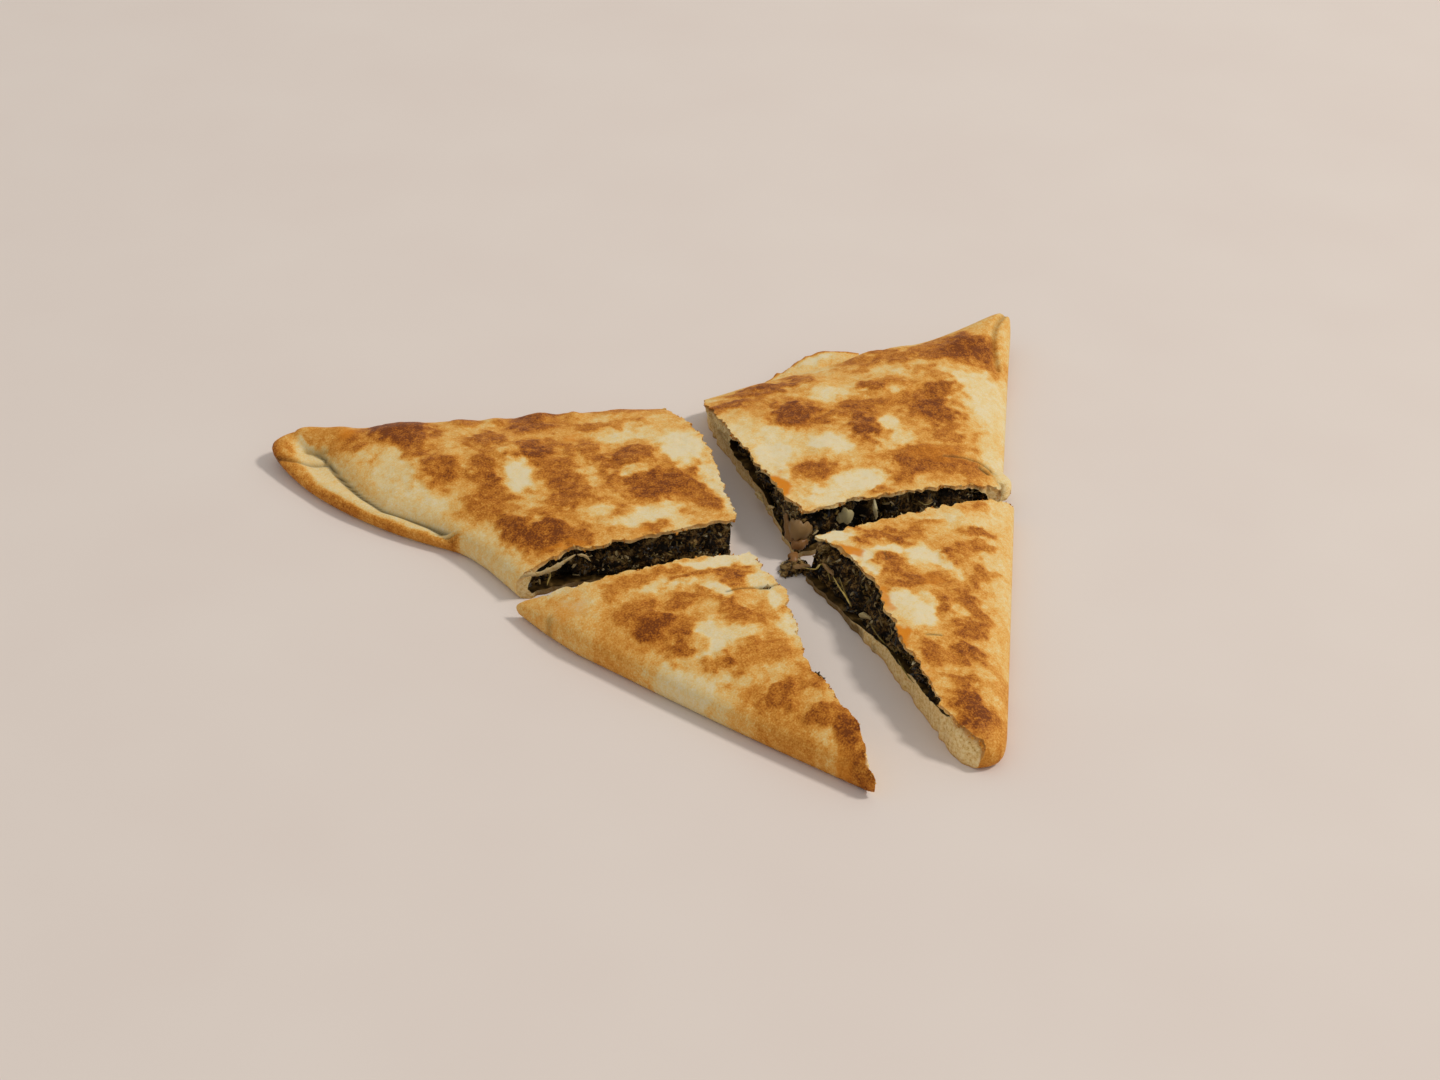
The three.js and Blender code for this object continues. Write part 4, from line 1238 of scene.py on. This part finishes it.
def crumb_material():
    """Steamed wheat crumb at a knife cut: cream and full of pores, with a thin browned rind along the
    crust, and brown and dull where the filling's juice wetted it."""
    material, tree = new_material("Cut wheat crumb")
    pores = noise(tree, 0.9 * MM, 4.0, 0.7)
    flesh = ramp(tree, pores, ((0.3, "ab7c38"), (0.4, "deb872"), (0.6, "f2d9a2")))
    rind = ramp(tree, stored(tree, "bake"), (
        (0.0, "dcba7a"), (0.35, "c98b3c"), (0.7, "9c5c19"), (1.0, "6d3a10")))
    baked = blended(tree, flesh, rind, stored(tree, "rind"))
    surface(tree, {
        # darker brown where juice wets the crumb, and painted shade on the torn flap
        "Base Color": blended(tree, baked, linear("4a2f12"), stored(tree, "wet_and_shade")), "Roughness": 0.75,
        "Normal": bumped(tree, pores, 0.8, 0.5 * MM), "IOR": 1.4, "Specular IOR Level": 0.2,
        "Subsurface Weight": 0.15, "Subsurface Scale": 1.5 * MM, "Subsurface Radius": (1.0, 0.7, 0.4)})
    return material


def soaked_material():
    """The dough's inside wall, soaked by the filling: a dull blotchy brown, slightly wet."""
    material, tree = new_material("Filling-soaked dough")
    colour = ramp(tree, noise(tree, 3 * MM, 4.0), ((0.35, "1d1306"), (0.55, "4c3717"), (0.7, "85693a")))
    surface(tree, {"Base Color": colour, "Roughness": 0.5, "IOR": 1.4, "Specular IOR Level": 0.2})
    return material


def spinach_material():
    """Cooked chopped spinach, pressed: nearly black with browner and straw-coloured patches, the darkest
    partly painted shade of hollows, with painted shade in its pits, and wet with oil, so it glints in
    small points."""
    material, tree = new_material("Cooked chopped spinach")
    chop = noise(tree, 1.1 * MM, 5.0, 0.7)
    # darker and lighter patches: the dark ones partly paint the shade of hollows in the filling
    patch = scaled(tree, noise(tree, 4.5 * MM, 2.0), 0.8, -0.4)
    bright = ramp(tree, summed(tree, chop, patch), (
        (0.38, "030100"), (0.48, "21130a"), (0.58, "6a4c22"), (0.7, "9c7f4c")))
    surface(tree, {
        # near black in the pits: painted shade
        "Base Color": blended(tree, bright, linear("040201"), stored(tree, "painted_pit_shade")), "Roughness": 0.2,
        "Normal": bumped(tree, chop, 1.0, 0.9 * MM), "IOR": 1.45, "Specular IOR Level": 0.22,
        "Specular Tint": linear("fff0d8")})
    return material


def shred_material():
    """Shreds of cooked spinach leaf: most nearly black, some olive brown to straw, all wet with oil."""
    material, tree = new_material("Cooked spinach shreds")
    colour = ramp(tree, stored(tree, "tone"), (
        (0.0, "030100"), (0.3, "0f0802"), (0.5, "33240c"), (0.68, "6c5626"), (0.86, "8f7846"),
        (1.0, "b59f70")))
    surface(tree, {
        "Base Color": colour, "Roughness": 0.2, "IOR": 1.45, "Specular IOR Level": 0.35,
        "Normal": bumped(tree, noise(tree, 0.6 * MM, 3.0), 1.0, 0.25 * MM),
        "Coat Weight": 0.35, "Coat Roughness": 0.1})
    return material


def fibre_material():
    """Stewed leaf stems: dull olive to straw, wet."""
    material, tree = new_material("Stewed spinach stems")
    colour = ramp(tree, stored(tree, "tone"), ((0.0, "4f4218"), (0.5, "7e6a2c"), (1.0, "b29a52")))
    surface(tree, {"Base Color": colour, "Roughness": 0.25, "IOR": 1.4, "Specular IOR Level": 0.4})
    return material


def onion_material():
    """Stewed onion: soft translucent flesh, brown through straw grey to cream, with a wet gloss."""
    material, tree = new_material("Stewed onion")
    colour = ramp(tree, stored(tree, "tone"), ((0.0, "8a6136"), (0.5, "a3966a"), (1.0, "e0d2aa")))
    surface(tree, {
        "Base Color": colour, "Roughness": 0.38, "IOR": 1.4, "Specular IOR Level": 0.3,
        "Subsurface Weight": 0.3, "Subsurface Scale": 1.5 * MM, "Subsurface Radius": (1.0, 0.8, 0.5)})
    return material


def floor_material():
    """Matt pale studio paper: an even warm grey-pink that takes soft shadows."""
    material, tree = new_material("Matt studio paper")
    colour = ramp(tree, noise(tree, 60 * MM, 2.0), ((0.3, "dacec5"), (0.7, "dcd1c8")))
    surface(tree, {"Base Color": colour, "Roughness": 0.9})
    return material


# ---- operators ----

class FATAYER_OT_dough(bpy.types.Operator):
    """Build the baked dough of the four slices, hollow round the filling and ragged at the cuts"""

    bl_idname = "fatayer.dough"
    bl_label = "Dough"

    def execute(self, context):
        settings = context.scene.fatayer_dough
        materials = [crust_material(settings), crumb_material(), soaked_material()]
        for name, slice_ in SLICES.items():
            self.build(name, slice_, materials, settings)
        return {"FINISHED"}

    def build(self, name, slice_, materials, settings):
        form = solid("form", *pillow(
            slice_, lambda x, y: foot_inset(slice_, x, y), DOUGH_BAND,
            lambda x, y: skin_height(slice_, x, y), 0, SKIN_STEP, SKIN_RINGS))
        pocket = solid("pocket", *pocket_form(slice_, 0), slot=SOAKED)
        heights = knife_heights(0, 18, CRUMB_STEP)
        shares = np.interp(heights, CUT_LEAN, (0, 1))
        ragged = settings.ragged / MM

        def stray(x, y, z):  # slow waves, fine tears in the top crust, and the notches
            wander = noise_at(x, y, 0, 5, 41) * 0.7 + noise_at(x, y, 0, 2.2, 42) * 1.1
            wander = ragged * (wander + 1.3 * noise_at(x, y, z, 1.2, 43) * smooth(4, 8, z))
            for nx, ny, radius, depth in slice_["notches"]:
                wander = wander + depth * bell(x, y, nx, ny, radius) * smooth(5, 9, z)
            return wander

        blade = solid("blade", *knife(slice_, heights, shares, 0, CRUMB_STEP, stray), slot=CRUMB)
        flaps = [solid("flap", *flap(shape)) for shape in FLAPS[name]]
        steps = [("UNION", f) for f in flaps] + [("INTERSECT", blade), ("DIFFERENCE", pocket)]
        piece = carved(f"crust_{name}", form, steps)
        self.bake(piece.data, name, slice_)
        finish_shading(piece.data, 38)
        wear(piece.data, materials)
        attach(piece, "root")
        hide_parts(f"dough_{name}")

    def bake(self, mesh, name, slice_):
        """Stores how brown the crust baked, where oil stained it and how much shade is painted into
        its creases, and on the cut crumb how near the baked rind is and where juice wets it."""
        x, y, z = places_of(mesh).T
        inset = inset_at(slice_, x, y)
        scorch = marks_at(slice_["scorches"], x, y, SCORCH_SEED)
        halo = marks_at(slice_["scorches"], x, y, SCORCH_SEED, HALO_SPREAD)
        wash = COMMON_BROWN + slice_["tone"] + 0.13 * noise_at(x, y, 0, 12, 61)
        wash = wash + 0.1 * noise_at(x, y, 0, 4.5, 62) + 0.2 * halo
        islands = noise_at(x, y, 0, 5.5, 65) + 0.5 * noise_at(x, y, 0, 2.3, 66)
        scorch = np.maximum(SCORCH_BROWN * scorch, HALO_BROWN * halo * smooth(0.1, 0.7, islands))
        pale = marks_at(slice_["pale"], x, y, 5)
        wash = wash * (1 - PALE_SHARE * pale)
        scorch = scorch * (1 - 0.6 * pale)
        side = 1 - smooth(2, 7, inset)
        # the outer side's own brownness, with painted warm bounce light on the front slice
        wash = mix(wash, slice_["flank_bake_and_bounce_light"], side * 0.75)
        for mark in slice_["washes"]:
            wash = mix(wash, mark[4], marks_at([(*mark[:4], 1)], x, y, 7))
        for shape in FLAPS[name]:
            rim = np.array(shape["rim"])[:, :2]
            near = np.exp(-((path_distance(x, y, rim) / 1.3) ** 2))
            wash = np.maximum(wash, shape["edge"] * near * (z < 9))
        if "lip" in slice_:
            run = inset_at(slice_, x, y, "lip")
            nose = tip_distance(slice_, x, y)
            wide = mix(5.4, 1.5, smooth(10, 40, nose)) + 0.7 * noise_at(x, y, 0, 4, 63)
            outer = smooth(-0.6, 0.6, run - inset) * (1 - smooth(0.5 * wide, wide, run))
            wash = mix(wash, LIP_SHADE, smooth(-0.6, 0.6, run - inset) * (inset < 1))
            rim = mix(*LIP_RIM, smooth(0, 2.5, run)) + 0.14 * noise_at(x, y, 0, 5, 64)
            wash = mix(wash, rim, outer)
        bake = wash + (1.0 - wash) * scorch * (1 - 0.5 * side)
        dark = creases_at(slice_, x, y)[1]
        store(mesh, "bake", np.clip(bake, 0, 1))
        store(mesh, "oil", marks_at(slice_["stains"], x, y, 11))
        # painted shade of the creases and the lip's seam, none on the lowest millimetre
        store(mesh, "crease", dark * (z > 1))
        under = crust_height(slice_, x, y) - z
        mellow = 0.85 + 0.15 * noise_at(x, y, 0, 3, 67)
        rind = np.maximum(mellow * np.exp(-((under / 1.5) ** 4)), 0.8 * np.exp(-((z / 0.5) ** 2)))
        store(mesh, "rind", np.where(under < -0.5, 0, rind))
        store(mesh, "wet_and_shade", 0.85 * marks_at(slice_["juice"], x, y, 13) * (1 - smooth(2, 3.2, z)))


class FATAYER_OT_filling(bpy.types.Operator):
    """Build the pressed spinach filling of the four slices"""

    bl_idname = "fatayer.filling"
    bl_label = "Filling"

    def execute(self, context):
        material = spinach_material()
        for name, slice_ in SLICES.items():
            slab = solid("slab", *pocket_form(slice_, GAP))
            heights = knife_heights(1.5, 17, CHOP_STEP)
            shares = np.interp(heights, (KNIFE_SPAN[0], 4, 9, KNIFE_SPAN[1]), (0, 0.1, 0.6, 1))

            def stray(x, y, z):  # lumps, pits, and a hollow under the top crust
                lumps = noise_at(x, y, z, 3.4, 51) * 1.3 + noise_at(x, y, z, 1.4, 52) * 0.7
                under = smooth(0.55, 0.95, z / crust_height(slice_, x, y))
                return 0.7 + lumps + pits_at(slice_, x, y) + under * (2.0 + 1.8 * noise_at(x, y, 0, 7, 53))

            blade = solid("blade", *knife(slice_, heights, shares, CUT_TUCK, CHOP_STEP, stray), slot=CRUMB)
            piece = carved(f"spinach_{name}", slab, [("INTERSECT", blade)])
            cut = np.empty(len(piece.data.polygons), np.int32)
            piece.data.polygons.foreach_get("material_index", cut)
            showing = piece.data.attributes.new("showing", "FLOAT", "FACE")
            showing.data.foreach_set("value", (cut == CRUMB).astype(float))
            piece.data.polygons.foreach_set("material_index", [0] * len(cut))
            x, y, _ = places_of(piece.data).T
            # painted shade in the filling's pits, by how far they reach in
            store(piece.data, "painted_pit_shade", np.clip(pits_at(slice_, x, y) / 1.5, 0, 1))
            finish_shading(piece.data, 50)
            wear(piece.data, [material])
            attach(piece, "root")
            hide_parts(f"filling_{name}")
        spilled = solid("spilled_filling", *joined([heap(*shape) for shape in HEAPS]))
        finish_shading(spilled.data, 50)
        wear(spilled.data, [material])
        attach(spilled, "root")
        return {"FINISHED"}


class FATAYER_OT_bits(bpy.types.Operator):
    """Strew chopped leaf, stem fibres and onion over the cut faces of the filling"""

    bl_idname = "fatayer.bits"
    bl_label = "Chopped Bits"

    def execute(self, context):
        settings = context.scene.fatayer_filling
        rng = np.random.default_rng(settings.seed)
        length = settings.shred / MM
        tree = strewing_tree()
        host = cut_faces()
        # name, form, how many shapes, their length and width, share of the crowd, tilt, material
        kinds = (
            ("spinach_shreds", leaf_bit, 9, 1.35 * length, 0.5 * length, 0.75, 0.9, shred_material()),
            ("stem_fibres", fibre_bit, 4, 2.2 * length, 0.13 * length, 0.05, 0.6, fibre_material()),
            ("onion_bits", onion_bit, 4, 0.8 * length, 0.45 * length, 0.025, 0.8, onion_material()),
        )
        for name, form, count, long, wide, share, tilt, material in kinds:
            shapes = [form(rng, long * rng.uniform(0.6, 1.3), wide * rng.uniform(0.6, 1.4))
                      for _ in range(count)]
            piece = strew(name, tree, host, shapes, {
                "Crowd": settings.crowd * share, "Least Size": BIT_SIZES[0], "Most Size": BIT_SIZES[1],
                "Tilt": tilt, "Seed": settings.seed, "Material": material})
            lift_off_floor(piece.data)
            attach(piece, "root")
        bpy.data.objects.remove(host)
        self.flakes(tree, settings, rng)
        return {"FINISHED"}

    def flakes(self, tree, settings, rng):
        """Strews the crust's torn edges with thin flakes of it."""
        host = crust_edges()
        shapes = [leaf_bit(rng, rng.uniform(0.9, 1.9), rng.uniform(0.5, 1.1)) for _ in range(6)]
        piece = strew("crust_flakes", tree, host, shapes, {
            "Crowd": FLAKE_CROWD, "Least Size": FLAKE_SIZES[0], "Most Size": FLAKE_SIZES[1],
            "Tilt": FLAKE_TILT, "Seed": settings.seed,
            "Material": bpy.data.materials["Pan-baked wheat crust"]})
        tone = np.empty(len(piece.data.vertices))
        piece.data.attributes["tone"].data.foreach_get("value", tone)
        store(piece.data, "bake", 0.15 + 0.55 * tone)
        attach(piece, "root")
        bpy.data.objects.remove(host)


class FATAYER_OT_scraps(bpy.types.Operator):
    """Lay the torn dough, the pieces of onion and the long strands that hang at the cuts"""

    bl_idname = "fatayer.scraps"
    bl_label = "Torn Scraps"

    def execute(self, context):
        rng = np.random.default_rng(context.scene.fatayer_filling.seed + 1)
        kinds = (
            ("torn_dough", DOUGH_ROLLS, crumb_material(), "dough"),
            ("onion_pieces", ONION_PIECES, onion_material(), "filling"),
            ("long_strands", STRANDS, fibre_material(), "filling"),
        )
        for name, shapes, material, slot in kinds:
            bodies = [lumpy(path, radius, flat, rng) for path, radius, flat, _ in shapes]
            tones = [np.full(len(points), shape[3]) for (points, _), shape in zip(bodies, shapes)]
            piece = solid(name, *joined(bodies))
            # the torn flap's darkening is painted shade where it lies partly in shadow
            for use in ("tone", "wet_and_shade"):  # torn dough darkens by its tone
                store(piece.data, use, np.concatenate(tones))
            finish_shading(piece.data, 60)
            wear(piece.data, [material])
            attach(piece, "root")
        return {"FINISHED"}


class FATAYER_OT_studio(bpy.types.Operator):
    """Set the camera, the soft lights and the pale floor"""

    bl_idname = "fatayer.studio"
    bl_label = "Studio"

    def execute(self, context):
        settings = context.scene.fatayer_studio
        self.camera(context)
        self.lights(context, settings)
        self.floor()
        context.scene.view_settings.view_transform = "Standard"
        return {"FINISHED"}

    def camera(self, context):
        heading, height, roll = [math.radians(v) for v in (CAMERA_HEADING, CAMERA_ELEVATION, CAMERA_ROLL)]
        back = Vector((math.sin(heading) * math.cos(height), -math.cos(heading) * math.cos(height),
                       math.sin(height)))
        level = Vector((math.cos(heading), math.sin(heading), 0))
        raised = level.cross(-back)
        right = level * math.cos(roll) + raised * math.sin(roll)
        up = raised * math.cos(roll) - level * math.sin(roll)
        data = bpy.data.cameras.new("camera")
        data.lens = CAMERA_LENS
        data.sensor_width = CAMERA_SENSOR
        camera = linked("camera", data)
        turn = Matrix((right, up, back)).transposed().to_4x4()
        camera.matrix_world = Matrix.Translation(Vector(CAMERA_AIM) * MM + back * CAMERA_DISTANCE * MM) @ turn
        context.scene.camera = camera

    def lights(self, context, settings):
        heading, height = math.radians(KEY_HEADING), math.radians(KEY_ELEVATION)
        toward = Vector((math.cos(heading) * math.cos(height), math.sin(heading) * math.cos(height),
                         math.sin(height)))
        data = bpy.data.lights.new("key", "AREA")
        data.shape = "DISK"
        data.size = KEY_SIZE * MM
        data.energy = settings.key_power
        data.color = linear("fffaf4")[:3]
        key = linked("key", data)
        turn = toward.to_track_quat("Z", "Y").to_matrix().to_4x4()
        key.matrix_world = Matrix.Translation(toward * KEY_DISTANCE * MM) @ turn
        world = bpy.data.worlds.new("studio")
        world.use_nodes = True
        shade = world.node_tree.nodes["Background"]
        shade.inputs["Color"].default_value = linear("fffdfb")
        shade.inputs["Strength"].default_value = settings.fill
        context.scene.world = world

    def floor(self):
        half = FLOOR_HALF * MM
        corners = [(-half, -half, 0), (half, -half, 0), (half, half, 0), (-half, half, 0)]
        mesh = plain_mesh("floor", corners, [(0, 1, 2, 3)])
        mesh.materials.append(floor_material())
        floor = linked("floor", mesh)


class FATAYER_PT_panel(bpy.types.Panel):
    """Lists the pieces of the fatayer and their settings"""

    bl_idname = "FATAYER_PT_panel"
    bl_label = "Spinach Fatayer"
    bl_space_type = "VIEW_3D"
    bl_region_type = "UI"
    bl_category = "Fatayer"

    def draw(self, context):
        for operator, group in BUILD_ORDER:
            box = self.layout.box()
            box.operator(operator.bl_idname)
            if group:
                settings = getattr(context.scene, group)
                for name in settings.bl_rna.properties.keys():
                    if name not in {"rna_type", "name"}:
                        box.prop(settings, name)


BUILD_ORDER = (
    (FATAYER_OT_studio, "fatayer_studio"),
    (FATAYER_OT_dough, "fatayer_dough"),
    (FATAYER_OT_filling, None),
    (FATAYER_OT_bits, "fatayer_filling"),
    (FATAYER_OT_scraps, None),
)
GROUPS = {
    "fatayer_dough": DoughSettings,
    "fatayer_filling": FillingSettings,
    "fatayer_studio": StudioSettings,
}


def register():
    for group in GROUPS.values():
        bpy.utils.register_class(group)
    for operator, _ in BUILD_ORDER:
        bpy.utils.register_class(operator)
    bpy.utils.register_class(FATAYER_PT_panel)
    for name, group in GROUPS.items():
        setattr(bpy.types.Scene, name, PointerProperty(type=group))


def unregister():
    for name in GROUPS:
        delattr(bpy.types.Scene, name)
    bpy.utils.unregister_class(FATAYER_PT_panel)
    for operator, _ in reversed(BUILD_ORDER):
        bpy.utils.unregister_class(operator)
    for group in reversed(list(GROUPS.values())):
        bpy.utils.unregister_class(group)


def main():
    register()
    for operator, _ in BUILD_ORDER:
        call = getattr(bpy.ops.fatayer, operator.bl_idname.split(".")[1])
        call()


if __name__ == "__main__":
    main()
